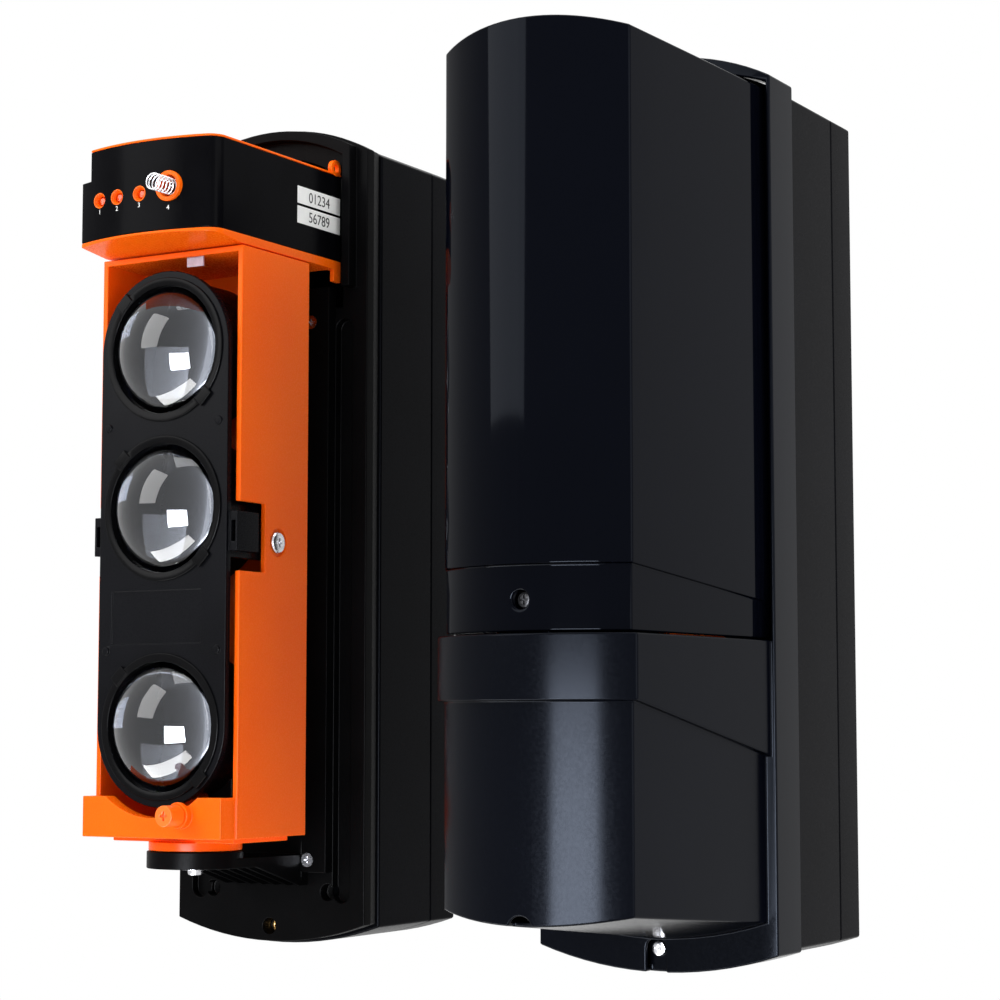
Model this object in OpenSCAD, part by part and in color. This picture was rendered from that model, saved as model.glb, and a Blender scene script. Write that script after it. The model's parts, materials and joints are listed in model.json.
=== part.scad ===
// Three-beam infrared detector, as a pair on one wall: the receiver stands open
// on the left, the transmitter stands closed under its cover on the right.
// Millimetres. X runs to the right, Y runs back to the wall, Z runs up.
// Depths are counted forward from the wall face.

/* [Pair] */
// Distance between the centre lines of the two units
unit_pitch = 183.2; // [150:1:260]

/* [Lenses] */
// Diameter of each lens
lens_d = 51; // [46:0.2:54]
// Height of the lens dome over its flat edge
dome_h = 12.3; // [9:0.1:13]
// Thickness of the lens at its edge
lens_edge = 2.2; // [1.6:0.1:3]
// Gap between the rims of the two upper lenses
upper_gap = 0.3; // [0.2:0.1:6]
// Height of the plain stretch between the two lower lenses
panel_gap = 22.7; // [18:0.1:32]

/* [Lens frame] */
// Wall of a lens barrel
barrel_wall = 2.7; // [1.8:0.1:3.2]
// Width of the face around a barrel
rim_w = 2.6; // [2:0.1:3.6]
// Thickness of the lens frame's face
frame_t = 3; // [2:0.1:4]
// Depth of a barrel behind the face
barrel_depth = 25; // [20:0.5:26]
// How far each side ear stands out
ear_w = 4; // [3:0.1:4]
// Height of each side ear
ear_h = 15.3; // [10:0.1:15.6]

/* [Column] */
// Wall of the column
column_wall = 2.3; // [1.8:0.1:2.8]
// Room over the top lens
top_room = 7.9; // [6.4:0.1:14]
// Room under the bottom lens
bottom_room = 11.5; // [11:0.1:18]
// Depth of the column behind the turning axis
column_back = 25.6; // [24.6:0.2:26.2]
// Depth of the column in front of the turning axis
column_fore = 19.4; // [17:0.2:20]
// How far the bottom bar stands out of the column
bar_reach = 9; // [8:0.5:9]
// Height of the bottom bar
bar_h = 15.7; // [14:0.1:18]
// Radius of the turntable
turntable_r = 18.3; // [16:0.1:22]

/* [Head] */
// Height of the black fascia
fascia_h = 35.5; // [33:0.1:42]
// Thickness of the fascia
fascia_t = 1.5; // [1:0.1:1.8]
// How far the head's front corners stand in front of the turning axis
head_fore = 34.4; // [33:0.2:38]
// Bulge of the head's front
head_bulge = 6; // [4:0.5:7]
// Wall of the head
head_wall = 2; // [1.6:0.1:2.4]
// Radius of the ring around the tamper spring
tamper_ring_r = 6; // [5.4:0.1:6.6]
// Radius of an indicator's dish
dish_r = 2.9; // [2.4:0.1:3.4]

/* [Tamper spring] */
// Number of free curls
spring_turns = 7; // [5:1:8]
// Mean radius of the spring
spring_r = 3.1; // [2.8:0.1:3.3]
// Radius of the spring's wire
wire_r = 0.3; // [0.25:0.05:0.35]
// Length of the spring
spring_len = 17; // [16:0.5:19]

/* [Base] */
// Depth of the rear lid of the back box
lid_depth = 19; // [14:0.5:24]
// Depth of the back box in front of its lid
box_depth = 39; // [34:0.5:50]
// Wall of the back box
box_wall = 2.5; // [2:0.1:3]
// Thickness of the rubber gasket
gasket_t = 4; // [2:0.5:6]
// Thickness of the base plate
plate_t = 5; // [4.5:0.5:7]
// Distance of the turning axis in front of the base plate
axis_reach = 49.6; // [49.4:0.2:56]

/* [Cover] */
// Wall of the cover
cover_wall = 1.8; // [1.4:0.1:2]
// How much wider the cover's front edge is than the column, each side
cover_room = 2.2; // [2.1:0.1:6]
// How much wider the cover is at its rear edge, each side
cover_flare = 7.9; // [7:0.1:9]
// How far the cover's front corners stand in front of the turning axis
cover_fore = 51.1; // [50:0.1:58]
// Bulge of the cover's front
cover_bulge = 12; // [11:0.5:16]
// Room over the head
cover_headroom = 10.5; // [9.5:0.1:14]
// Room under the column
cover_footroom = 20; // [19:0.5:26]
// Height of the arch along the cover's top and bottom edges
cover_arch = 4.8; // [3:0.1:6]
// Height from the column's bottom to the window's bottom edge
window_rise = 74.3; // [65:0.1:85]
// Height of the belt in front
belt_h = 22.5; // [20:0.5:28]
// How far the belt stands out
belt_t = 2.2; // [1:0.1:2.6]
// Depth of the rim around the cover's rear edge
rim_depth = 21.1; // [18:0.1:26]
// How far the rim stands out of the cover's rear edge, each side
rim_step = 4.2; // [3.8:0.1:6]
// Wall of the rim
rim_wall = 1.8; // [1.4:0.1:2.2]

/* [Hidden] */
$fn = 72;
ARC_SIDES = 180;
overrun = 1;

// Clearances
running = 0.05;
seat = 0.15;
slip = 0.3;
shell_gap = 0.6;
window_gap = 2.4;

// Widths, built outwards from the lens
side_gap = 1.2;
head_inset = 1;
bar_inset = 1;
lens_r = lens_d / 2;
barrel_in = lens_r + slip - running;
barrel_r = barrel_in + barrel_wall;
rim_r = barrel_r + rim_w;
column_in = rim_r + side_gap;
column_half = column_in + column_wall;
head_half = column_half - head_inset;
bar_half = column_half - bar_inset;
cover_front_half = column_half + cover_room;
cover_rear_half = cover_front_half + cover_flare;
rim_half = cover_rear_half + rim_step;
plate_inset = rim_wall + shell_gap;
plate_half = rim_half - plate_inset;
gasket_inset = plate_inset + slip;
box_inset = plate_inset / 2;
box_half = rim_half - box_inset;

// Depths, counted forward from the wall
tilt_back = 5.6;
frame_lead = 1;
lens_inset = 6.3;
box_front = lid_depth + box_depth;
gasket_front = box_front + gasket_t;
plate_front = gasket_front + plate_t;
axis_d = plate_front + axis_reach;
column_rear = axis_d - column_back;
column_front = axis_d + column_fore;
bar_front = column_front + bar_reach;
tilt_d = axis_d - tilt_back;
frame_rear = column_front + frame_lead;
frame_front = frame_rear + frame_t;
barrel_rear = frame_rear - barrel_depth;
lens_front = frame_front - lens_inset;
lens_back = lens_front - lens_edge;
head_rear = plate_front + slip;
head_corner_d = axis_d + head_fore;
head_front = head_corner_d + head_bulge;
cover_corner_d = axis_d + cover_fore;
cover_front = cover_corner_d + cover_bulge;
rim_rear = box_front + shell_gap;
rim_front = rim_rear + rim_depth;

// Heights, with zero half way up the cover's front corners
head_gap = 0.8;
chin = 3.8;
head_lip = 1;
tilt_drop = 13;
column_h = bottom_room + top_room + 6 * rim_r + upper_gap + panel_gap;
head_h = chin + fascia_h + head_lip;
cover_h = cover_footroom + column_h + head_gap + head_h + cover_headroom;
cover_bottom = -cover_h / 2;
cover_top = cover_h / 2;
column_bottom = cover_bottom + cover_footroom;
column_top = column_bottom + column_h;
lens_low_z = column_bottom + bottom_room + rim_r;
lens_mid_z = lens_low_z + 2 * rim_r + panel_gap;
lens_top_z = lens_mid_z + 2 * rim_r + upper_gap;
LENS_HEIGHTS = [lens_top_z, lens_mid_z, lens_low_z];
tilt_z = lens_mid_z - tilt_drop;
head_bottom = column_top + head_gap;
fascia_bottom = head_bottom + chin;
fascia_top = fascia_bottom + fascia_h;
head_top = fascia_top + head_lip;

// Base outline: straight sides between two arcs
rim_top_rise = 1.5;
rim_foot = 19;
rim_arch = 12.5;
rim_foot_arch = 8;
box_top_drop = 4;
rim_top = cover_top + rim_top_rise;
rim_bottom = cover_bottom - rim_foot;

// Base plate
hood_w = 4;
hood_reach = 5;
hood_half = plate_half - 1.4 * hood_w;
hood_foot = head_bottom - 1.8 * hood_w;
hood_inset = plate_inset + hood_w / 4;
pocket_depth = 12;
pocket_floor_t = 2;
pocket_inset = plate_inset + pocket_depth;
pocket_front = plate_front - pocket_depth;
pocket_back = pocket_front - pocket_floor_t;
pocket_bottom = head_bottom - 15;
slot_r = 4;
slot_depth = 3.5;
slot_x = plate_half - 11.1;
slot_low = rim_bottom + 15;
slot_high = head_bottom - 24;
drain_r = 3.3;
drain_x = plate_half - 17.8;
drain_z = rim_bottom + 15;
insert_z = rim_bottom + 0.5;
insert_r = 2.75;
insert_len = 8;
insert_boss_r = 4;
insert_mouth_r = 3.25;
insert_lead = 1;

// Screws
screw_r = 1.5;
screw_hole_r = screw_r + running;
screw_clear_r = screw_r + 0.2;
screw_head_r = 2.9;
screw_head_h = 2.2;
screw_overlap = 0.4;
recess_half = 1.8;
recess_w = 0.9;
recess_depth = 1.2;

// Wall fixing and cable entry
wall_hole_x = box_half - 17.6;
wall_hole_z = rim_top - 41.5;
wall_hole_r = 2.4;
cable_z = rim_bottom + 69;
cable_hole_r = 8;
cable_bore_r = 5;
grommet_lip = 2;

// Terminal block behind the pocket
terminal_w = 44;
terminal_h = 12;
terminal_depth = 11;
terminal_ways = 6;
terminal_screw_r = 1.8;
terminal_screw_depth = 3;
terminal_z = pocket_bottom + 16;

// Cradle
web_t = 5;
web_half = column_in - side_gap;
web_front = plate_front + web_t;
web_bottom = column_bottom - 16;
web_top = head_bottom - 7;
tab_half = 20;
tab_top = head_bottom + 26;
ledge_t = 2;
ledge_inset = 5;
turntable_t = 3.5;
arm_t = 3.6;
disc_t = 3;
disc_r = turntable_r + 0.7;
ledge_bottom = column_bottom - ledge_t;
turntable_bottom = ledge_bottom - turntable_t;
disc_top = turntable_bottom - slip;
arm_top = disc_top - disc_t;
arm_bottom = arm_top - arm_t;
spigot_r = 5;
spigot_bottom = arm_bottom - seat;
gusset_count = 7;
gusset_t = 1.6;
gusset_pitch = (2 * disc_r - gusset_t) / (gusset_count - 1);
gusset_reach = 30;
gusset_drop = 9;
web_screw_x = web_half - 9;
web_screw_low = web_bottom + 5;
web_screw_high = web_top - 14;
sink_depth = 1.4;
head_screw_x = tab_half - 7;
head_screw_z = head_bottom + 13;
head_boss_r = 3.5;
head_boss_len = 6;

// Pan screw with its washer
washer_r = 6.6;
washer_t = 0.6;
washer_top = spigot_bottom - running;
pan_head_top = washer_top - washer_t;
pan_screw_len = 12;

// Tilt screws and the arms that they hold
shoulder_r = 2.4;
tilt_head_r = 4.2;
tilt_head_h = 1.6;
tilt_sink_r = 5.5;
tilt_sink = 0.9;
side_arm_t = 3;
side_arm_back = 5.5;
side_arm_half = 7;

// Side notches and ears
notch_fore = 16.5;
notch_above = 14.6;
notch_below = 12.2;
ear_depth = 12.5;
ear_rise = 3;
ear_hole_w = 1.8;
ear_hole_h = 8;

// Adjusting screw and its fork
adjust_x = 15;
adjust_z = column_bottom + 9;
adjust_r = 2.45;
adjust_head_r = 4;
adjust_head_len = 8;
adjust_boss_r = 5;
adjust_boss_h = 3;
adjust_front = bar_front + adjust_boss_h + seat + adjust_head_len;
adjust_tail = 38;
collar_r = 3.6;
collar_t = 1;
bar_wall = 6;
bar_rear = bar_front - bar_wall;
dip_gap = 3.8;
fork_t = 4.5;
fork_back = tilt_d + 5.5;
fork_half = adjust_r + seat + 3;
fork_rise = 3.3;
fork_drop = 4;

// Front of the lens frame
lens_land = 1;
ring_wall = 1.2;
ring_lip_t = 0.8;
tab_w = 7;
tab_t = 1.4;
tab_reach = 1.6;
TAB_ANGLES = [135, -45];
pip_x = rim_r - 4;
pip_r = 1.6;
pip_h = 0.8;
PIP_HEIGHTS = [lens_mid_z + rim_r + upper_gap / 2 + pip_r, lens_low_z + rim_r - pip_r];
panel_left = rim_r - 6.5;
panel_right = rim_r - 12;
panel_sink = 0.6;
panel_margin = 1;

// Sensor board
board_t = 1.6;
sensor_half = 10;
sensor_end = 12;
diode_r = 2.5;
diode_len = 5;

// Ribbon at the column's top
ribbon_x = 5.8;
ribbon_w = 8;
ribbon_t = 0.8;
ribbon_drop = 6;
ribbon_d = column_front - 2.8;

// Head
step_w = 5.9;
step_z = fascia_bottom + 24;
step_depth = 14;
skin_gap = 0.1;
core_inset = fascia_t + skin_gap;
cavity_half = head_half - core_inset - head_wall;
pin_r = 3.9;
pin_reach = 2.6;
LED_X_SHARES = [-0.642, -0.343, 0];
led_z = fascia_bottom + 15.3;
led_r = 1.5;
led_hole_r = led_r + slip;
dish_depth = 1.6;
bezel_len = 4.4;
tamper_x = 13.5;
tamper_z = fascia_bottom + 17;
tamper_bore = 4.3;
ring_lead = 0.6;
board_back = 9;
board_d = head_corner_d - board_back;
board_top = fascia_top - 7.5;
board_left = 23;
hook_t = 2;
hook_w = 5;
hook_drop = 5;
loop_r = 3.5;
loop_hole_r = 1.7;
loop_rise = 2;

// Tamper plunger
switch_r = 3.9;
switch_h = 2;
stem_r = 1.6;
plunger_r = 5;
plunger_t = 1;
plunger_travel = 2.5;
stem_foot = board_d + board_t + slip;
plunger_disc = board_d + board_t + switch_h + plunger_travel + slip;
spring_start = plunger_disc + plunger_t;
spring_tip = spring_start + spring_len;

// Label plates on the right side of the head
label_len = 30;
label_h = 7;
label_t = 0.3;
label_gap = 1.1;
label_rear = head_rear + 1.2;
label_z = fascia_bottom + 11;

// Cover
window_rear = plate_front + hood_reach + slip;
window_bottom = column_bottom + window_rise;
belt_top = window_bottom - shell_gap;
belt_bottom = belt_top - belt_h;
belt_fall = 19;
band_step = 0.6;
band_front = 22.5;
band_fall = 10;
cover_slant = 9.6;
flare_slope = cover_flare / (cover_corner_d - rim_front);
slant_angle = atan(cover_slant / (cover_corner_d - rim_front));
arch_r = (cover_front_half * cover_front_half + cover_arch * cover_arch) / (2 * cover_arch);
notch_r = 4.7;
notch_cut = 4;
window_screw_z = window_bottom + 10.8;
cup_bore_r = 3.2;
cup_r = 4.6;
cup_t = 1.2;
cup_depth = 5;
cup_floor = cover_front - band_step - cup_depth;
tongue_half = 8;
tongue_t = 3.5;
tongue_front = cup_floor - cup_t - slip;
tongue_top = window_screw_z + 7;
window_screw_len = 6;
boss_r = 5.4;
cover_boss_r = 5;
cover_boss_front = rim_front - rim_wall - 2.4;
cover_screw_back = gasket_front - insert_len + insert_lead;
cover_mouth_r = 4;

// Helpers

// Extrudes a front-view outline (X, Z) from one depth to another
module slab(d0, d1)
    rotate([90, 0, 0]) translate([0, 0, d0]) linear_extrude(d1 - d0) children();

// Extrudes a side-view outline (minus depth, Z) from one X to another
module fin(x0, x1)
    translate([x0, 0, 0]) rotate([90, 0, 90]) linear_extrude(x1 - x0) children();

// A box between two places along X, two depths and two heights
module block(x0, x1, d0, d1, z0, z1)
    translate([x0, -d1, z0]) cube([x1 - x0, d1 - d0, z1 - z0]);

// The same box at the right and at the left
module block_pair(x0, x1, d0, d1, z0, z1) {
    block(x0, x1, d0, d1, z0, z1);
    block(-x1, -x0, d0, d1, z0, z1);
}

// A round peg along the depth
module peg(x, z, d0, d1, r)
    translate([x, -d0, z]) rotate([90, 0, 0]) cylinder(r = r, h = d1 - d0);

// A cone along the depth
module cone(x, z, d0, d1, r0, r1)
    translate([x, -d0, z]) rotate([90, 0, 0]) cylinder(r1 = r0, r2 = r1, h = d1 - d0);

// A round bar along X, from one place to another
module axle(x0, x1, d, z, r)
    translate([x0, -d, z]) rotate([0, 90, 0]) cylinder(r = r, h = x1 - x0);

// The same bar at the right and at the left
module axle_pair(x0, x1, d, z, r) {
    axle(x0, x1, d, z, r);
    axle(-x1, -x0, d, z, r);
}

// A round bar along the turning axis
module spindle(z0, z1, r)
    translate([0, -axis_d, z0]) cylinder(r = r, h = z1 - z0);

// A slot with round ends, cut along the depth
module long_slot(x, z0, z1, d0, d1, r) {
    block(x - r, x + r, d0, d1, z0, z1);
    peg(x, z0, d0, d1, r);
    peg(x, z1, d0, d1, r);
}

// A cross for a screwdriver, cut into the front of a head at a place
module driver_cross(x, z, front)
    for (turn = [0, 90])
        translate([x, -front, z]) rotate([0, turn, 0])
            translate([-recess_half, -overrun, -recess_w / 2])
            cube([2 * recess_half, recess_depth + overrun, recess_w]);

// A front outline with straight sides and arcs along its top and bottom
module arched(half, z0, z1, sag0, sag1) {
    r0 = (half * half + sag0 * sag0) / (2 * sag0);
    r1 = (half * half + sag1 * sag1) / (2 * sag1);
    translate([-half, z0]) square([2 * half, z1 - z0]);
    intersection() {
        translate([0, z0 - sag0 + r0]) circle(r = r0, $fn = ARC_SIDES);
        translate([-half, z0 - sag0]) square([2 * half, sag0 + overrun]);
    }
    intersection() {
        translate([0, z1 + sag1 - r1]) circle(r = r1, $fn = ARC_SIDES);
        translate([-half, z1 - overrun]) square([2 * half, sag1 + overrun]);
    }
}

// The outline of rim, gasket and plate, moved in by one amount
module base_outline(inset)
    arched(rim_half - inset, rim_bottom + inset, rim_top - inset, rim_foot_arch, rim_arch);

module box_outline(inset)
    arched(box_half - inset, rim_bottom + box_inset + inset,
           rim_top - box_top_drop - inset, rim_foot_arch, rim_arch);

// The part of an outline that lies over a height and within a half width
module above(z, half)
    intersection() {
        children();
        translate([-half, z]) square([2 * half, cover_h]);
    }

// Plan of the head or the cover: straight sides closed by one arc in front
module plan(front_half, slope, rear_d, corner_d, bulge, inset) {
    arc_r = (front_half * front_half + bulge * bulge) / (2 * bulge);
    front = front_half - inset;
    rear = front + slope * (corner_d - rear_d);
    front_d = corner_d + bulge - 2 * min(inset, 0);
    intersection() {
        translate([0, arc_r - corner_d - bulge]) circle(r = arc_r - inset, $fn = ARC_SIDES);
        polygon([
            [-rear, -rear_d], [rear, -rear_d], [front, -corner_d],
            [front, -front_d], [-front, -front_d], [-front, -corner_d]
        ]);
    }
}

// Back box

module back_lid()
    color([0.07, 0.07, 0.075])
    difference() {
        slab(0, lid_depth) box_outline(0);
        slab(box_wall, lid_depth + overrun) box_outline(box_wall);
        for (x = [-wall_hole_x, wall_hole_x], z = [-wall_hole_z, wall_hole_z])
            peg(x, z, -overrun, box_wall + overrun, wall_hole_r);
        peg(0, cable_z, -overrun, box_wall + overrun, cable_hole_r);
    }

module back_box()
    color([0.05, 0.05, 0.055])
    difference() {
        slab(lid_depth, box_front) box_outline(0);
        slab(lid_depth - overrun, box_front - box_wall) box_outline(box_wall);
        slab(lid_depth, box_front + overrun) pocket_outline(pocket_floor_t + shell_gap);
        peg(0, insert_z, lid_depth, box_front + overrun, insert_boss_r + seat);
    }

// The pocket behind the head, grown by one amount
module pocket_outline(grow)
    above(pocket_bottom - grow, rim_half) base_outline(pocket_inset - grow);

module gasket()
    color([0.1, 0.1, 0.1])
    difference() {
        slab(box_front, gasket_front) base_outline(gasket_inset);
        slab(box_front - overrun, gasket_front + overrun)
            pocket_outline(pocket_floor_t + shell_gap);
        peg(0, insert_z, box_front - overrun, gasket_front + overrun, insert_boss_r + seat);
        for (side = [-1, 1])
            peg(side * drain_x, drain_z, box_front - overrun, gasket_front + overrun, drain_r);
    }

module base_plate()
    color([0.045, 0.045, 0.05])
    difference() {
        union() {
            slab(gasket_front, plate_front) base_outline(plate_inset);
            slab(pocket_back, plate_front) pocket_outline(pocket_floor_t);
            slab(gasket_front, plate_front + hood_reach)
                above(hood_foot, hood_half) base_outline(hood_inset);
            peg(0, insert_z, gasket_front - insert_len - insert_lead, plate_front,
                insert_boss_r);
        }
        slab(pocket_front, plate_front + hood_reach) pocket_outline(0);
        slab(plate_front, plate_front + hood_reach + overrun)
            above(hood_foot - overrun, hood_half - hood_w) base_outline(hood_inset + hood_w);
        for (side = [-1, 1]) {
            long_slot(side * slot_x, slot_low, slot_high, plate_front - slot_depth,
                      plate_front + overrun, slot_r);
            peg(side * drain_x, drain_z, gasket_front - overrun, plate_front + overrun, drain_r);
        }
        peg(0, insert_z, gasket_front - insert_len - insert_lead - overrun, gasket_front,
            insert_r);
        peg(0, insert_z, gasket_front - overrun, plate_front + overrun, insert_mouth_r);
        for (z = [web_screw_low, web_screw_high], side = [-1, 1])
            peg(side * web_screw_x, z, gasket_front + slip, plate_front + overrun, screw_hole_r);
    }

module brass_insert()
    color([0.75, 0.55, 0.25])
    difference() {
        peg(0, insert_z, gasket_front - insert_len, gasket_front - insert_lead, insert_r);
        peg(0, insert_z, gasket_front - insert_len - overrun, gasket_front, screw_hole_r);
    }

module cable_grommet()
    color([0.12, 0.12, 0.12])
    difference() {
        union() {
            peg(0, cable_z, 0, box_wall + grommet_lip, cable_hole_r - running);
            peg(0, cable_z, box_wall, box_wall + grommet_lip, cable_hole_r + grommet_lip);
        }
        peg(0, cable_z, -overrun, box_wall + grommet_lip + overrun, cable_bore_r);
    }

module terminal_block()
    color([0.15, 0.35, 0.2])
    difference() {
        block(-terminal_w / 2, terminal_w / 2, pocket_back - terminal_depth, pocket_back,
              terminal_z, terminal_z + terminal_h);
        for (i = [0 : terminal_ways - 1])
            peg((i + 1 / 2) * terminal_w / terminal_ways - terminal_w / 2,
                terminal_z + terminal_h / 2, pocket_back - terminal_depth - overrun,
                pocket_back - terminal_depth + terminal_screw_depth, terminal_screw_r);
    }

// Cradle

module cradle()
    color([0.04, 0.04, 0.045])
    difference() {
        union() {
            block(-web_half, web_half, plate_front, web_front, web_bottom, web_top);
            block(-tab_half, tab_half, plate_front, web_front, web_top - overrun, tab_top);
            block(-disc_r, disc_r, plate_front, axis_d, arm_bottom, arm_top);
            spindle(arm_bottom, disc_top, disc_r);
            for (i = [0 : gusset_count - 1])
                gusset(i * gusset_pitch - disc_r);
        }
        spindle(arm_bottom - overrun, disc_top + overrun, spigot_r + running);
        for (z = [web_screw_low, web_screw_high], side = [-1, 1]) {
            peg(side * web_screw_x, z, plate_front - overrun, web_front, screw_clear_r);
            cone(side * web_screw_x, z, web_front - sink_depth, web_front, screw_clear_r,
                 screw_head_r + seat);
        }
        for (side = [-1, 1])
            peg(side * head_screw_x, head_screw_z, plate_front - overrun,
                web_front + overrun, screw_clear_r);
    }

module gusset(x)
    fin(x, x + gusset_t) polygon([
        [-plate_front, arm_bottom + arm_t / 2],
        [-web_front - gusset_reach, arm_bottom + arm_t / 2],
        [-web_front - gusset_reach, arm_bottom],
        [-web_front, arm_bottom - gusset_drop],
        [-plate_front, arm_bottom - gusset_drop]
    ]);

module base_screws()
    color([0.75, 0.75, 0.77]) {
        for (z = [web_screw_low, web_screw_high], side = [-1, 1]) {
            peg(side * web_screw_x, z, gasket_front + 2 * slip, web_front - sink_depth / 2,
                screw_r);
            cone(side * web_screw_x, z, web_front - sink_depth, web_front, screw_r,
                 screw_head_r);
        }
        for (side = [-1, 1]) {
            peg(side * head_screw_x, head_screw_z, plate_front - screw_overlap,
                web_front + head_wall + head_boss_len - slip, screw_r);
            peg(side * head_screw_x, head_screw_z, plate_front - screw_head_h, plate_front,
                screw_head_r);
        }
    }

// Head

// The head's block between two heights, moved in by one amount, with its left step
module head_block(z0, z1, inset)
    difference() {
        translate([0, 0, z0]) linear_extrude(z1 - z0)
            plan(head_half, 0, head_rear, head_corner_d, head_bulge, inset);
        block(-head_half - overrun, inset - head_half + step_w,
              head_corner_d - step_depth - inset, head_front + overrun,
              step_z - inset, head_top + overrun);
    }

// Depth of the head's front skin at a place along X
function head_skin(x) =
    let (arc_r = (head_half * head_half + head_bulge * head_bulge) / (2 * head_bulge))
    head_front - arc_r + sqrt(arc_r * arc_r - x * x);

module head_shell()
    color([1, 0.42, 0.08])
    difference() {
        union() {
            difference() {
                union() {
                    head_block(fascia_bottom - head_wall / 2, fascia_top + skin_gap, core_inset);
                    head_block(fascia_top + skin_gap, head_top, 0);
                    head_chin();
                }
                head_block(fascia_bottom, head_top - head_wall, core_inset + head_wall);
                block(-cavity_half, cavity_half, head_rear - overrun, web_front,
                      head_bottom - overrun, head_top - head_wall);
            }
            block(-cavity_half, cavity_half, web_front, web_front + head_wall,
                  head_bottom, head_top - head_wall);
            for (side = [-1, 1])
                peg(side * head_screw_x, head_screw_z, web_front,
                    web_front + head_wall + head_boss_len, head_boss_r);
            for (share = LED_X_SHARES)
                peg(share * head_half, led_z, head_skin(share * head_half) - bezel_len,
                    head_skin(share * head_half), dish_r);
            peg(tamper_x, tamper_z, spring_start + slip, head_skin(tamper_x) + ring_lead,
                tamper_ring_r);
            block(head_half - hook_t, head_half, head_rear, head_rear + hook_w,
                  head_bottom - hook_drop, head_bottom + head_wall);
            axle(head_half - hook_t, head_half, head_rear + loop_r, head_top + loop_rise,
                 loop_r);
            spindle(head_bottom - pin_reach - head_gap, head_bottom + head_wall, pin_r);
        }
        axle(head_half - hook_t - overrun, head_half + overrun, head_rear + loop_r,
             head_top + loop_rise, loop_hole_r);
        for (share = LED_X_SHARES) {
            peg(share * head_half, led_z, board_d, head_front + overrun, led_hole_r);
            cone(share * head_half, led_z, head_skin(share * head_half) - dish_depth,
                 head_skin(share * head_half), led_hole_r, dish_r - running);
        }
        peg(tamper_x, tamper_z, board_d, head_front + overrun, tamper_bore);
        for (side = [-1, 1])
            peg(side * head_screw_x, head_screw_z, web_front - overrun,
                web_front + head_wall + head_boss_len + overrun, screw_hole_r);
    }

// The orange underside of the head, which slopes up to its front
module head_chin()
    intersection() {
        head_block(head_bottom, fascia_bottom - skin_gap, 0);
        fin(-head_half - overrun, head_half + overrun) polygon([
            [0, head_bottom],
            [-column_front, head_bottom],
            [-head_front, fascia_bottom - head_wall / 2],
            [-head_front, fascia_bottom],
            [0, fascia_bottom]
        ]);
    }

module fascia()
    color([0.03, 0.03, 0.035])
    difference() {
        head_block(fascia_bottom, fascia_top, 0);
        translate([0, overrun, 0])
            head_block(fascia_bottom - overrun, fascia_top + overrun, fascia_t);
        head_block(fascia_bottom - overrun, fascia_top + overrun, fascia_t);
        for (share = LED_X_SHARES)
            peg(share * head_half, led_z, board_d, head_front + overrun, dish_r + running);
        peg(tamper_x, tamper_z, board_d, head_front + overrun, tamper_ring_r + running);
    }

module label_plates()
    color([0.95, 0.95, 0.95])
    for (i = [0, 1])
        block(head_half, head_half + label_t, label_rear, label_rear + label_len,
              label_z + i * (label_h + label_gap), label_z + i * (label_h + label_gap) + label_h);

module head_board()
    color([0.1, 0.4, 0.2])
    difference() {
        union() {
            block(-board_left, cavity_half - slip, board_d, board_d + board_t,
                  fascia_bottom, board_top);
            peg(tamper_x, tamper_z, board_d, board_d + board_t + switch_h, switch_r);
        }
        peg(tamper_x, tamper_z, board_d - overrun, board_d + board_t + switch_h + overrun,
            stem_r + slip);
    }

module indicator_leds()
    color([0.9, 0.2, 0.15])
    for (share = LED_X_SHARES)
        peg(share * head_half, led_z, board_d + board_t,
            head_skin(share * head_half) - dish_depth, led_r);

module tamper_plunger()
    color([0.1, 0.1, 0.1])
    union() {
        peg(tamper_x, tamper_z, stem_foot, plunger_disc + plunger_t / 2, stem_r);
        peg(tamper_x, tamper_z, plunger_disc, plunger_disc + plunger_t, plunger_r);
    }

// Tamper spring: one unbroken wire with closer curls at both ends
SPRING_RINGS = 8;
SPRING_SIDES = 6;
end_turns = 1;
end_pitch_share = 0.55;
all_turns = spring_turns + 2 * end_turns;
spring_steps = all_turns * SPRING_RINGS;
free_pitch = (spring_len - 2 * wire_r - 2 * running)
    / (spring_turns + 2 * end_turns * end_pitch_share);
end_pitch = end_pitch_share * free_pitch;

// Height along the spring after a number of turns
function spring_climb(turn) =
    min(turn, end_turns) * end_pitch
    + max(0, min(turn, end_turns + spring_turns) - end_turns) * free_pitch
    + max(0, turn - end_turns - spring_turns) * end_pitch;

function spring_point(step) =
    let (turn = step / SPRING_RINGS)
    [spring_r * cos(360 * turn), spring_climb(turn), spring_r * sin(360 * turn)];

SPRING_POINTS = [for (i = [0 : spring_steps]) spring_point(i)];

// Least distance between points over half a turn apart, less the wire
spring_least_gap = min([
    for (i = [0 : spring_steps])
        for (j = [i + 5 : 1 : spring_steps])
            norm(SPRING_POINTS[i] - SPRING_POINTS[j])
]) - 2 * wire_r;
echo(spring_least_gap = spring_least_gap);

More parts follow.
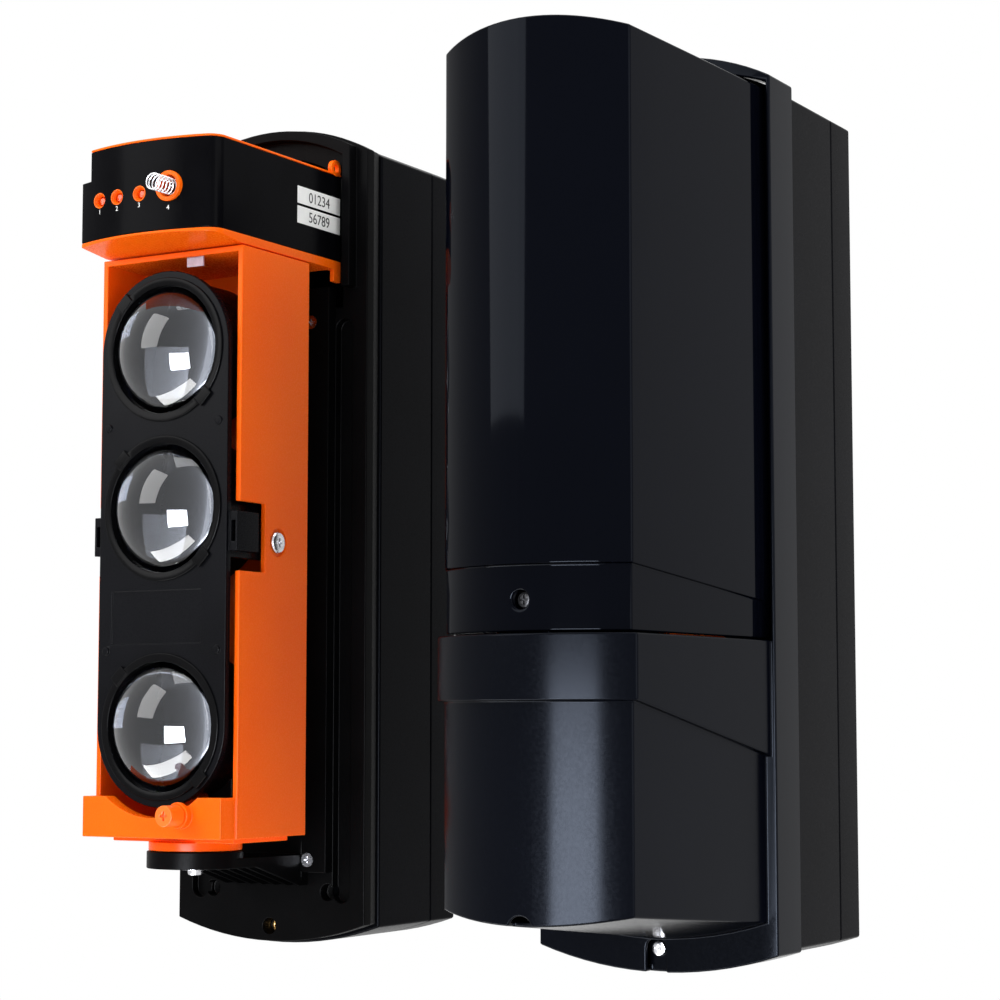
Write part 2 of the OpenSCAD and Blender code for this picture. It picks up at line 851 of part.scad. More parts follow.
module tamper_spring() {
    points = [
        for (i = [0 : spring_steps], k = [0 : SPRING_SIDES - 1])
            let (turn = 360 * i / SPRING_RINGS, side = 360 * k / SPRING_SIDES)
            SPRING_POINTS[i]
            + wire_r * [cos(side) * cos(turn), sin(side), cos(side) * sin(turn)]
    ];
    sides = [
        for (i = [0 : spring_steps - 1], k = [0 : SPRING_SIDES - 1])
            let (
                a = i * SPRING_SIDES + k,
                b = i * SPRING_SIDES + (k + 1) % SPRING_SIDES
            )
            each [[a, b, b + SPRING_SIDES], [a, b + SPRING_SIDES, a + SPRING_SIDES]]
    ];
    last = spring_steps * SPRING_SIDES;
    first_cap = [for (k = [1 : SPRING_SIDES - 2]) [0, k + 1, k]];
    last_cap = [for (k = [1 : SPRING_SIDES - 2]) [last, last + k, last + k + 1]];
    color([0.8, 0.8, 0.82])
        translate([tamper_x, -spring_start - wire_r - running, tamper_z]) mirror([0, 1, 0])
        polyhedron(points, concat(sides, first_cap, last_cap));
}

// Column

module column()
    color([1, 0.42, 0.08])
    difference() {
        union() {
            block(-column_half, column_half, column_rear, column_front,
                  column_bottom, column_top);
            block(-bar_half, bar_half, column_front - overrun, bar_front,
                  column_bottom, column_bottom + bar_h);
            block(ledge_inset - column_half, column_half - ledge_inset,
                  column_rear + ledge_inset, column_front - ledge_inset,
                  ledge_bottom, column_bottom);
            spindle(turntable_bottom, ledge_bottom, turntable_r);
            spindle(spigot_bottom, turntable_bottom, spigot_r);
            peg(adjust_x, adjust_z, bar_rear, bar_front + adjust_boss_h, adjust_boss_r);
        }
        block(-column_in, column_in, column_rear + column_wall, column_front,
              column_bottom + column_wall, column_top - column_wall);
        block(-column_in, column_in, column_front - overrun, bar_front + overrun,
              column_bottom + bar_h, column_top - column_wall);
        block(column_wall - bar_half, bar_half - column_wall, column_front - overrun,
              bar_rear, column_bottom + column_wall, column_top - column_wall);
        peg(0, lens_low_z, column_front, bar_front + overrun, rim_r + dip_gap);
        block_pair(column_in - overrun, column_half + overrun, column_front - notch_fore,
                   column_front + overrun, tilt_z - notch_below, tilt_z + notch_above);
        axle_pair(column_in - overrun, column_half, tilt_d, tilt_z, shoulder_r + running);
        axle_pair(column_half - tilt_sink, column_half + overrun, tilt_d, tilt_z,
                  tilt_sink_r);
        peg(adjust_x, adjust_z, bar_rear - overrun, bar_front + adjust_boss_h + overrun,
            adjust_r + running);
        spindle(spigot_bottom - overrun, spigot_bottom + pan_screw_len, screw_hole_r);
        spindle(column_top - column_wall - overrun, column_top + overrun, pin_r + running);
        block(ribbon_x - slip, ribbon_x + ribbon_w + slip, ribbon_d - slip,
              ribbon_d + ribbon_t + slip, column_top - column_wall - overrun,
              column_top + overrun);
    }

module pan_screw()
    color([0.8, 0.8, 0.82])
    difference() {
        union() {
            spindle(pan_head_top, washer_top, washer_r);
            spindle(pan_head_top - screw_head_h, pan_head_top, screw_head_r);
            spindle(pan_head_top, spigot_bottom + pan_screw_len - slip, screw_r);
        }
        for (turn = [0, 90])
            translate([0, -axis_d, pan_head_top - screw_head_h - overrun])
                rotate([0, 0, turn]) translate([-recess_half, -recess_w / 2, 0])
                cube([2 * recess_half, recess_w, recess_depth + overrun]);
    }

module signal_ribbon()
    color([0.85, 0.8, 0.85])
    block(ribbon_x, ribbon_x + ribbon_w, ribbon_d, ribbon_d + ribbon_t,
          column_top - ribbon_drop, column_top + head_gap / 2);

// Lens frame

module lens_frame()
    color([0.035, 0.035, 0.04])
    difference() {
        union() {
            slab(frame_rear, frame_front) frame_outline();
            for (z = LENS_HEIGHTS)
                peg(0, z, barrel_rear, frame_rear, barrel_r);
            block_pair(rim_r - side_arm_t, rim_r, tilt_d - side_arm_back, frame_rear,
                       tilt_z - side_arm_half, tilt_z + side_arm_half);
            block_pair(rim_r - side_arm_t, rim_r + ear_w, frame_rear - ear_depth,
                       frame_front - frame_t / 2, tilt_z + ear_rise - ear_h / 2,
                       tilt_z + ear_rise + ear_h / 2);
            block(adjust_x - fork_half, adjust_x + fork_half, fork_back, fork_back + fork_t,
                  adjust_z - fork_drop, lens_low_z - barrel_r / 2);
            for (z = PIP_HEIGHTS, side = [-1, 1])
                peg(side * pip_x, z, frame_rear, frame_front + pip_h, pip_r);
        }
        for (z = LENS_HEIGHTS) {
            peg(0, z, barrel_rear - overrun, lens_back, barrel_in - lens_land);
            peg(0, z, lens_back, frame_front + pip_h + overrun, barrel_in);
        }
        axle_pair(rim_r - side_arm_t - overrun, rim_r + overrun, tilt_d, tilt_z,
                  shoulder_r + running);
        block_pair(rim_r + ear_w / 2 - ear_hole_w / 2, rim_r + ear_w / 2 + ear_hole_w / 2,
                   frame_rear - ear_depth - overrun, frame_front + overrun,
                   tilt_z + ear_rise - ear_hole_h / 2, tilt_z + ear_rise + ear_hole_h / 2);
        block(-panel_left, panel_right, frame_front - panel_sink, frame_front + overrun,
              lens_low_z + rim_r + panel_margin, lens_mid_z - rim_r - panel_margin);
        block(adjust_x - adjust_r - seat, adjust_x + adjust_r + seat, fork_back - overrun,
              fork_back + fork_t + overrun, adjust_z - fork_drop - overrun,
              adjust_z + fork_rise);
    }

module frame_outline() {
    translate([-rim_r, lens_low_z]) square([2 * rim_r, lens_top_z - lens_low_z]);
    translate([0, lens_low_z]) circle(r = rim_r);
    translate([0, lens_top_z]) circle(r = rim_r);
}

module tilt_screws()
    color([0.8, 0.8, 0.82])
    for (side = [-1, 1])
        translate([side * (column_half - tilt_sink), -tilt_d, tilt_z])
        rotate([0, side * 90, 0])
        difference() {
            union() {
                translate([0, 0, running]) cylinder(r = tilt_head_r, h = tilt_head_h);
                translate([0, 0, rim_r - side_arm_t - column_half + tilt_sink])
                    cylinder(r = shoulder_r, h = column_half - tilt_sink - rim_r + side_arm_t
                             + tilt_head_h / 2);
            }
            for (turn = [0, 90])
                rotate([0, 0, turn])
                    translate([-recess_half, -recess_w / 2, tilt_head_h + running - recess_depth])
                    cube([2 * recess_half, recess_w, recess_depth + overrun]);
        }

// One plano-convex lens
module lens(z) {
    dome_r = lens_r - ring_wall - running;
    ball_r = (dome_r * dome_r + dome_h * dome_h) / (2 * dome_h);
    color([0.8, 0.85, 0.9, 0.45])
        translate([0, -lens_back, z]) rotate([90, 0, 0])
        rotate_extrude() union() {
            square([lens_r, lens_edge]);
            intersection() {
                translate([0, lens_edge + dome_h - ball_r]) circle(r = ball_r, $fn = ARC_SIDES);
                translate([0, lens_edge / 2]) square([dome_r, dome_h + lens_edge]);
            }
        }
}

// Bayonet rings that hold the lenses
module lens_rings()
    color([0.02, 0.02, 0.025])
    for (z = LENS_HEIGHTS)
        difference() {
            union() {
                peg(0, z, lens_front, frame_front, barrel_in - running);
                peg(0, z, frame_front, frame_front + ring_lip_t, barrel_r);
                for (angle = TAB_ANGLES)
                    translate([0, 0, z]) rotate([0, 90 - angle, 0])
                        block(-tab_w / 2, tab_w / 2, frame_front, frame_front + tab_t,
                              barrel_in, barrel_r + tab_reach);
            }
            peg(0, z, lens_back, frame_front + tab_t + overrun, lens_r - ring_wall);
        }

module sensor_board()
    color([0.1, 0.4, 0.2])
    block(-sensor_half, sensor_half, barrel_rear - board_t, barrel_rear,
          lens_low_z - sensor_end, lens_top_z + sensor_end);

module infrared_diodes()
    color([0.15, 0.12, 0.2])
    for (z = LENS_HEIGHTS)
        peg(0, z, barrel_rear, barrel_rear + diode_len, diode_r);

module adjusting_screw()
    color([1, 0.5, 0.1])
    difference() {
        union() {
            peg(adjust_x, adjust_z, adjust_front - adjust_head_len, adjust_front,
                adjust_head_r);
            peg(adjust_x, adjust_z, bar_rear - adjust_tail,
                adjust_front - adjust_head_len / 2, adjust_r);
            peg(adjust_x, adjust_z, bar_rear - seat - collar_t, bar_rear - seat, collar_r);
        }
        driver_cross(adjust_x, adjust_z, adjust_front);
    }

// Cover of the transmitter

module cover_plan(inset, rear_d)
    plan(cover_front_half, flare_slope, rear_d, cover_corner_d, cover_bulge, inset);

// The cover's upper body over one height, closed by its arched top
module upper_body(inset, rear_d, z0)
    intersection() {
        translate([0, 0, z0]) linear_extrude(cover_h) cover_plan(inset, rear_d);
        peg(0, cover_top + cover_arch - arch_r, 0, cover_front + overrun, arch_r - inset);
    }

// The cover's lower body under one height, closed by its arched and sloping floor
module lower_body(inset, rear_d, z1)
    intersection() {
        translate([0, 0, z1 - cover_h]) linear_extrude(cover_h) cover_plan(inset, rear_d);
        translate([0, -cover_corner_d, cover_bottom]) rotate([90 - slant_angle, 0, 0])
            translate([0, arch_r - cover_arch, -cover_corner_d])
            cylinder(r = arch_r - inset, h = 2 * cover_corner_d);
    }

module window()
    color([0.01, 0.01, 0.015])
    difference() {
        union() {
            difference() {
                union() {
                    intersection() {
                        upper_body(0, window_rear, window_bottom);
                        fin(-rim_half, rim_half) band_side_view();
                    }
                    upper_body(band_step, window_rear, window_bottom);
                }
                upper_body(cover_wall + band_step, window_rear - overrun,
                           window_bottom - overrun);
            }
            intersection() {
                union() {
                    peg(0, window_screw_z, cup_floor - cup_t, cover_front, cup_r);
                    peg(tamper_x, tamper_z, spring_tip + slip, cover_front, boss_r);
                }
                upper_body(band_step, window_rear, window_bottom);
            }
        }
        peg(0, window_screw_z, cup_floor - cup_t - overrun, cover_front, screw_hole_r);
        peg(0, window_screw_z, cup_floor, cover_front + overrun, cup_bore_r);
    }

// Side view of the window over the line where its lower band steps in
module band_side_view()
    polygon([
        [overrun - window_rear, cover_h],
        [overrun - window_rear, window_bottom + band_front - band_fall],
        [-cover_corner_d, window_bottom + band_front],
        [-cover_front - overrun, window_bottom + band_front],
        [-cover_front - overrun, cover_h]
    ]);

module cover_frame()
    color([0.012, 0.012, 0.016])
    difference() {
        union() {
            difference() {
                union() {
                    slab(rim_rear, rim_front) base_outline(0);
                    lower_body(0, rim_front - rim_wall, belt_top);
                    intersection() {
                        lower_body(-belt_t, rim_front - rim_wall, belt_top);
                        fin(-rim_half, rim_half) belt_side_view();
                    }
                }
                slab(rim_rear - overrun, rim_front - rim_wall) base_outline(rim_wall);
                lower_body(cover_wall, rim_front - rim_wall - overrun, belt_top + overrun);
                upper_body(-window_gap, rim_front - rim_wall - overrun, belt_top);
            }
            block(-tongue_half, tongue_half, tongue_front - tongue_t, tongue_front,
                  belt_bottom, tongue_top);
            intersection() {
                block(-tongue_half, tongue_half, tongue_front - tongue_t, cover_front,
                      belt_bottom, belt_top);
                lower_body(0, rim_front, belt_top);
            }
            intersection() {
                union() {
                    peg(0, insert_z, plate_front + slip, cover_boss_front, cover_boss_r);
                    block(-cover_boss_r, cover_boss_r, plate_front + slip, cover_boss_front,
                          rim_bottom - rim_foot_arch, insert_z);
                }
                slab(0, rim_front) base_outline(0);
            }
        }
        peg(0, window_screw_z, tongue_front - tongue_t - overrun, tongue_front + overrun,
            screw_hole_r);
        peg(0, cover_bottom - cover_arch, cover_front - notch_cut, cover_front + overrun,
            notch_r);
        peg(0, insert_z, plate_front - overrun, cover_boss_front + overrun, screw_hole_r);
        peg(0, insert_z, cover_boss_front, rim_front + overrun, cover_mouth_r);
        block(-cover_mouth_r, cover_mouth_r, cover_boss_front, rim_front + overrun,
              rim_bottom - rim_foot_arch - overrun, insert_z);
    }

// Side view of the belt: level in front, falling towards the rim
module belt_side_view()
    polygon([
        [overrun - rim_front, belt_top],
        [-cover_front - belt_t - overrun, belt_top],
        [-cover_front - belt_t - overrun, belt_bottom],
        [-cover_corner_d, belt_bottom],
        [-rim_front, belt_bottom - belt_fall],
        [overrun - rim_front, belt_bottom - belt_fall]
    ]);

module window_screw()
    color([0.1, 0.1, 0.1])
    difference() {
        union() {
            peg(0, window_screw_z, cup_floor - cup_t - window_screw_len, cup_floor + overrun,
                screw_r);
            peg(0, window_screw_z, cup_floor, cup_floor + screw_head_h, screw_head_r);
        }
        driver_cross(0, window_screw_z, cup_floor + screw_head_h);
    }

module cover_screw()
    color([0.8, 0.8, 0.82])
    difference() {
        union() {
            peg(0, insert_z, cover_screw_back, cover_boss_front + overrun, screw_r);
            peg(0, insert_z, cover_boss_front, cover_boss_front + screw_head_h, screw_head_r);
        }
        driver_cross(0, insert_z, cover_boss_front + screw_head_h);
    }

module receiver()
    translate([-unit_pitch, 0, 0]) children();

// Receiver
receiver() back_lid();  // rx_back_lid
receiver() back_box();  // rx_back_box
receiver() gasket();  // rx_gasket
receiver() base_plate();  // rx_base_plate
receiver() brass_insert();  // rx_brass_insert
receiver() cable_grommet();  // rx_cable_grommet
receiver() terminal_block();  // rx_terminal_block
receiver() cradle();  // rx_cradle
receiver() base_screws();  // rx_base_screws
receiver() head_shell();  // rx_head_shell
receiver() fascia();  // rx_fascia
receiver() label_plates();  // rx_label_plates
receiver() head_board();  // rx_head_board
receiver() indicator_leds();  // rx_indicator_leds
receiver() tamper_plunger();  // rx_tamper_plunger
receiver() tamper_spring();  // rx_tamper_spring
receiver() column();  // rx_column
receiver() pan_screw();  // rx_pan_screw
receiver() signal_ribbon();  // rx_signal_ribbon
receiver() lens_frame();  // rx_lens_frame
receiver() tilt_screws();  // rx_tilt_screws
receiver() lens(lens_top_z);  // rx_lens_top
receiver() lens(lens_mid_z);  // rx_lens_middle
receiver() lens(lens_low_z);  // rx_lens_bottom
receiver() lens_rings();  // rx_lens_rings
receiver() sensor_board();  // rx_sensor_board
receiver() infrared_diodes();  // rx_infrared_diodes
receiver() adjusting_screw();  // rx_adjusting_screw

// Transmitter
back_lid();  // tx_back_lid
back_box();  // tx_back_box
gasket();  // tx_gasket
base_plate();  // tx_base_plate
brass_insert();  // tx_brass_insert
cable_grommet();  // tx_cable_grommet
terminal_block();  // tx_terminal_block
cradle();  // tx_cradle
base_screws();  // tx_base_screws
head_shell();  // tx_head_shell
fascia();  // tx_fascia
label_plates();  // tx_label_plates
head_board();  // tx_head_board
indicator_leds();  // tx_indicator_leds
tamper_plunger();  // tx_tamper_plunger
tamper_spring();  // tx_tamper_spring
column();  // tx_column
pan_screw();  // tx_pan_screw
signal_ribbon();  // tx_signal_ribbon
lens_frame();  // tx_lens_frame
tilt_screws();  // tx_tilt_screws
lens(lens_top_z);  // tx_lens_top
lens(lens_mid_z);  // tx_lens_middle
lens(lens_low_z);  // tx_lens_bottom
lens_rings();  // tx_lens_rings
sensor_board();  // tx_sensor_board
infrared_diodes();  // tx_infrared_diodes
adjusting_screw();  // tx_adjusting_screw
cover_frame();  // tx_cover_frame
window();  // tx_window
window_screw();  // tx_window_screw
cover_screw();  // tx_cover_screw
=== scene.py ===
import json
import math

import bmesh
import bpy
from mathutils import Matrix, Vector


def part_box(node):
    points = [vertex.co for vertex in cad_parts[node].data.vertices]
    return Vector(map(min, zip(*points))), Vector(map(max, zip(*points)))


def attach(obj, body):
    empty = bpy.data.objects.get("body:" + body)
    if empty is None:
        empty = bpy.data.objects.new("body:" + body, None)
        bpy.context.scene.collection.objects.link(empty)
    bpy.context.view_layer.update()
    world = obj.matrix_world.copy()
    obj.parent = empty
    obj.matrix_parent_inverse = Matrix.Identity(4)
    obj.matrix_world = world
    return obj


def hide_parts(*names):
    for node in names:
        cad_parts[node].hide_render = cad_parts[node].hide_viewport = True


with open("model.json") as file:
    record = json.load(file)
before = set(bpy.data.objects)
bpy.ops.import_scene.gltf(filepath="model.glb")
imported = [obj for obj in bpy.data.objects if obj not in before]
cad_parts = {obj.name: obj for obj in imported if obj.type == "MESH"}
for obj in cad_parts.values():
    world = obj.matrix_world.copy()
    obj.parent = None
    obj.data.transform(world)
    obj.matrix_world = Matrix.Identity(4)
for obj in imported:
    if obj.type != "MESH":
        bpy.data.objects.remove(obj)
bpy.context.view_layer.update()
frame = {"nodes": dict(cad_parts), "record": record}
mm = 0.001
weld = 0.002 * mm
places = ("top", "middle", "bottom")
front = Vector((0, -1, 0))
back = Vector((0, 1, 0))
facingFront = Matrix.Rotation(math.pi / 2, 4, "X")

sides = {"rx": "receiver", "tx": "transmitter"}
scene = bpy.context.scene
scene.view_settings.view_transform = "Standard"


# Lowest corner, highest corner and middle of a node's box
def nodeBox(node):
    low, high = (Vector(corner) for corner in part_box(node))
    return low, high, (low + high) / 2


# Nodes and materials

glowReach = (0.004, 0.0008, 0.0002)


def addNode(tree, kind, **inputs):
    node = tree.nodes.new(kind)
    for key, value in inputs.items():
        if hasattr(node, key):
            setattr(node, key, value)
        else:
            node.inputs[key.replace("_", " ")].default_value = value
    return node


def startMaterial(name, look):
    material = bpy.data.materials.new(name)
    material.use_nodes = True
    material.diffuse_color = (*look["color"], 1)
    tree = material.node_tree
    shader = tree.nodes["Principled BSDF"]
    shader.inputs["Base Color"].default_value = (*look["color"], 1)
    shader.inputs["Roughness"].default_value = look.get("rough", 0.4)
    shader.inputs["Metallic"].default_value = look.get("metal", 0)
    shader.inputs["IOR"].default_value = look.get("ior", 1.5)
    shader.inputs["Specular IOR Level"].default_value = look.get("specular", 0.5)
    shader.inputs["Specular Tint"].default_value = (*look.get("tint", (1, 1, 1)), 1)
    shader.inputs["Coat Weight"].default_value = look.get("coat", 0)
    shader.inputs["Coat Roughness"].default_value = look.get("coatRough", 0.05)
    shader.inputs["Transmission Weight"].default_value = look.get("clear", 0)
    shader.inputs["Subsurface Weight"].default_value = look.get("glow", 0)
    shader.inputs["Subsurface Radius"].default_value = glowReach
    shader.inputs["Subsurface Scale"].default_value = 1
    place = tree.nodes.new("ShaderNodeTexCoord")
    return material, tree, shader, place.outputs["Object"]


def addNoise(tree, place, scale, detail=2.0, stretch=(1, 1, 1)):
    mapping = addNode(tree, "ShaderNodeMapping", Scale=stretch)
    tree.links.new(place, mapping.inputs["Vector"])
    noise = addNode(tree, "ShaderNodeTexNoise", Scale=scale, Detail=detail)
    tree.links.new(mapping.outputs["Vector"], noise.inputs["Vector"])
    return noise.outputs["Fac"]


# Two tones of the colour, mixed by a pattern
def mixTones(tree, shader, pattern, look, low=0.35, high=0.65):
    spread = addNode(tree, "ShaderNodeMapRange", From_Min=low, From_Max=high)
    tree.links.new(pattern, spread.inputs["Value"])
    mix = tree.nodes.new("ShaderNodeMix")
    mix.data_type = "RGBA"
    mix.inputs["A"].default_value = (*look["color"], 1)
    mix.inputs["B"].default_value = (*look["tone"], 1)
    tree.links.new(spread.outputs["Result"], mix.inputs["Factor"])
    tree.links.new(mix.outputs["Result"], shader.inputs["Base Color"])


def varyRoughness(tree, shader, pattern, low, high):
    spread = addNode(tree, "ShaderNodeMapRange", From_Min=0.3, From_Max=0.7,
                     To_Min=low, To_Max=high)
    tree.links.new(pattern, spread.inputs["Value"])
    tree.links.new(spread.outputs["Result"], shader.inputs["Roughness"])


def addBump(tree, shader, pattern, strength, depth):
    bump = addNode(tree, "ShaderNodeBump", Strength=strength, Distance=depth)
    tree.links.new(pattern, bump.inputs["Height"])
    tree.links.new(bump.outputs["Normal"], shader.inputs["Normal"])


# Moulded plastic: cloudy tone, fine grain in the surface
def plasticMaterial(name, look):
    material, tree, shader, place = startMaterial(name, look)
    mixTones(tree, shader, addNoise(tree, place, look["cloud"], 3), look)
    grain = addNoise(tree, place, look["grain"], 2)
    varyRoughness(tree, shader, grain, look["rough"] * 0.85, look["rough"] * 1.2)
    addBump(tree, shader, grain, look["bump"], look["depth"])
    return material


# Metal that was turned or plated: the pattern is drawn out along one direction
def metalMaterial(name, look):
    material, tree, shader, place = startMaterial(name, look)
    streak = addNoise(tree, place, look["grain"], 3, look["stretch"])
    mixTones(tree, shader, streak, look)
    varyRoughness(tree, shader, streak, look["rough"] * 0.7, look["rough"] * 1.4)
    addBump(tree, shader, streak, look["bump"], look["depth"])
    return material


# Rubber with a pebbled skin
def rubberMaterial(name, look):
    material, tree, shader, place = startMaterial(name, look)
    pebbles = addNode(tree, "ShaderNodeTexVoronoi", Scale=look["grain"])
    tree.links.new(place, pebbles.inputs["Vector"])
    mixTones(tree, shader, pebbles.outputs["Distance"], look, 0.1, 0.7)
    addBump(tree, shader, pebbles.outputs["Distance"], look["bump"], look["depth"])
    return material


# Circuit board: tracks under green lacquer
def boardMaterial(name, look):
    material, tree, shader, place = startMaterial(name, look)
    tracks = addNode(tree, "ShaderNodeTexBrick", Scale=look["grain"], Mortar_Size=0.06)
    tracks.inputs["Color1"].default_value = (*look["color"], 1)
    tracks.inputs["Color2"].default_value = (*look["tone"], 1)
    tracks.inputs["Mortar"].default_value = (*look["track"], 1)
    turn = addNode(tree, "ShaderNodeMapping", Rotation=(math.pi / 2, 0, 0))
    tree.links.new(place, turn.inputs["Vector"])
    tree.links.new(turn.outputs["Vector"], tracks.inputs["Vector"])
    tree.links.new(tracks.outputs["Color"], shader.inputs["Base Color"])
    addBump(tree, shader, tracks.outputs["Fac"], look["bump"], look["depth"])
    return material


# Clear lens: a trace of dust roughens it in places
def lensMaterial(name, look):
    material, tree, shader, place = startMaterial(name, look)
    dust = addNoise(tree, place, look["grain"], 4)
    varyRoughness(tree, shader, dust, look["rough"], look["dusty"])
    return material


finishes = {
    "orange": {"color": (1.0, 0.135, 0.003), "tone": (0.98, 0.12, 0.003), "rough": 0.26,
               "cloud": 18, "grain": 1400, "bump": 0.015, "depth": 0.0002, "glow": 0.2,
               "specular": 0.07},
    "adjuster": {"color": (1.0, 0.16, 0.006), "tone": (0.95, 0.14, 0.005), "rough": 0.35,
                 "cloud": 60, "grain": 1800, "bump": 0.05, "depth": 0.0002, "glow": 0.08,
                 "specular": 0.25},
    "cover": {"color": (0.001, 0.0013, 0.0028), "tone": (0.0014, 0.0018, 0.0038),
              "rough": 0.2, "cloud": 9, "grain": 900, "bump": 0.008, "depth": 0.0001,
              "specular": 0.055, "tint": (0.75, 0.84, 1)},
    "window": {"color": (0.0007, 0.0009, 0.0022), "tone": (0.001, 0.0013, 0.003),
               "rough": 0.045, "cloud": 7, "grain": 40, "bump": 0.003, "depth": 0.0004,
               "specular": 0.045, "tint": (0.75, 0.84, 1)},
    "fascia": {"color": (0.0016, 0.0016, 0.0022), "tone": (0.0024, 0.0024, 0.0032), "rough": 0.2,
               "cloud": 40, "grain": 900, "bump": 0.02, "depth": 0.0002, "specular": 0.02},
    "box": {"color": (0.0016, 0.0016, 0.0022), "tone": (0.0022, 0.0022, 0.003), "rough": 0.3,
            "cloud": 30, "grain": 1500, "bump": 0.06, "depth": 0.0002, "specular": 0.02,
            "tint": (0.8, 0.87, 1)},
    "plate": {"color": (0.0016, 0.0016, 0.0018), "tone": (0.0026, 0.0026, 0.003), "rough": 0.35,
              "cloud": 35, "grain": 1600, "bump": 0.08, "depth": 0.0002, "specular": 0.02},
    "frame": {"color": (0.0026, 0.0027, 0.0038), "tone": (0.0036, 0.0038, 0.0052), "rough": 0.28,
              "cloud": 45, "grain": 2000, "bump": 0.06, "depth": 0.0002, "specular": 0.05},
    "ring": {"color": (0.002, 0.002, 0.0024), "tone": (0.0035, 0.0035, 0.004), "rough": 0.2,
             "cloud": 60, "grain": 1800, "bump": 0.03, "depth": 0.0002, "specular": 0.05},
    "white": {"color": (0.92, 0.92, 0.9), "tone": (0.85, 0.85, 0.84), "rough": 0.5,
              "cloud": 120, "grain": 2500, "bump": 0.05, "depth": 0.0001},
    "terminal": {"color": (0.02, 0.16, 0.05), "tone": (0.015, 0.12, 0.04), "rough": 0.45,
                 "cloud": 90, "grain": 1500, "bump": 0.1, "depth": 0.0002},
    "led": {"color": (0.9, 0.11, 0.02), "tone": (0.75, 0.07, 0.012), "rough": 0.15,
            "cloud": 300, "grain": 900, "bump": 0.02, "depth": 0.0001, "specular": 0.4},
    "plunger": {"color": (0.008, 0.008, 0.009), "tone": (0.014, 0.014, 0.015), "rough": 0.4,
                "cloud": 150, "grain": 2000, "bump": 0.1, "depth": 0.0002},
    "ribbon": {"color": (0.62, 0.52, 0.62), "tone": (0.48, 0.4, 0.5), "rough": 0.35,
               "cloud": 400, "grain": 1500, "bump": 0.1, "depth": 0.0002},
    "diode": {"color": (0.012, 0.006, 0.018), "tone": (0.02, 0.01, 0.03), "rough": 0.1,
              "cloud": 200, "grain": 900, "bump": 0.02, "depth": 0.0001, "coat": 0.6},
}
metals = {
    "steel": {"color": (0.62, 0.62, 0.64), "tone": (0.5, 0.5, 0.52), "rough": 0.22, "metal": 1,
              "grain": 700, "stretch": (1, 1, 3), "bump": 0.08, "depth": 0.0001},
    "brass": {"color": (0.66, 0.4, 0.14), "tone": (0.5, 0.28, 0.09), "rough": 0.25, "metal": 1,
              "grain": 900, "stretch": (1, 4, 1), "bump": 0.08, "depth": 0.0001},
    "black_screw": {"color": (0.02, 0.02, 0.022), "tone": (0.035, 0.035, 0.038), "rough": 0.35,
                    "metal": 0.6, "grain": 800, "stretch": (1, 2, 1), "bump": 0.1,
                    "depth": 0.0001},
}
rubbers = {
    "gasket": {"color": (0.004, 0.004, 0.004), "tone": (0.008, 0.008, 0.008), "rough": 0.62,
               "grain": 900, "bump": 0.5, "depth": 0.0003, "specular": 0.3},
    "rubber": {"color": (0.012, 0.012, 0.012), "tone": (0.02, 0.02, 0.02), "rough": 0.7,
               "grain": 1600, "bump": 0.3, "depth": 0.0002, "specular": 0.3},
}
materials = {name: plasticMaterial(name, look) for name, look in finishes.items()}
materials.update({name: metalMaterial(name, look) for name, look in metals.items()})
materials.update({name: rubberMaterial(name, look) for name, look in rubbers.items()})
materials["board"] = boardMaterial("board", {
    "color": (0.012, 0.12, 0.05), "tone": (0.016, 0.15, 0.06), "track": (0.03, 0.22, 0.09),
    "rough": 0.3, "grain": 260, "bump": 0.2, "depth": 0.0001, "coat": 0.4})
materials["lens"] = lensMaterial("lens", {
    "color": (0.38, 0.41, 0.48), "rough": 0.0, "dusty": 0.01, "grain": 120, "clear": 1,
    "ior": 1.52, "specular": 0.3})
print("materials:", len(materials))


# Making pieces

# The evaluated mesh takes the place of the object's own, and its modifiers go
def bakeShape(piece):
    bpy.context.view_layer.update()
    evaluated = piece.evaluated_get(bpy.context.evaluated_depsgraph_get())
    mesh = bpy.data.meshes.new_from_object(evaluated)
    mesh.name = piece.name
    piece.modifiers.clear()
    piece.data = mesh


def linkPiece(name, mesh):
    piece = bpy.data.objects.new(name, mesh)
    scene.collection.objects.link(piece)
    return piece


# The mesh of a shape, which is freed
def shapeMesh(shape, name):
    mesh = bpy.data.meshes.new(name)
    shape.to_mesh(mesh)
    shape.free()
    return mesh


def setMaterial(piece, material):
    piece.data.materials.clear()
    piece.data.materials.append(materials[material])
    for polygon in piece.data.polygons:
        polygon.material_index = 0


# Smooth shading with the edges above an angle kept sharp
def shadeSmooth(piece, crease):
    piece.data.shade_smooth()
    piece.data.set_sharp_from_angle(angle=math.radians(crease))


def smoothShape(piece, crease):
    shadeSmooth(piece, crease)
    weights = piece.modifiers.new("weights", "WEIGHTED_NORMAL")
    weights.keep_sharp = True
    bakeShape(piece)


def finishPiece(piece, body, material, *nodes):
    setMaterial(piece, material)
    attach(piece, body)
    if nodes:
        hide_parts(*nodes)


creases = {"housing": 50, "lens": 40, "spring": 60, "screw": 35}
edgeShape = {"flat": 0.6, "angle": 35, "segments": 2}
headShape = {"bulge": 6, "corner": 5, "slope": 20.3, "cuts": 8, "slip": 0.001}


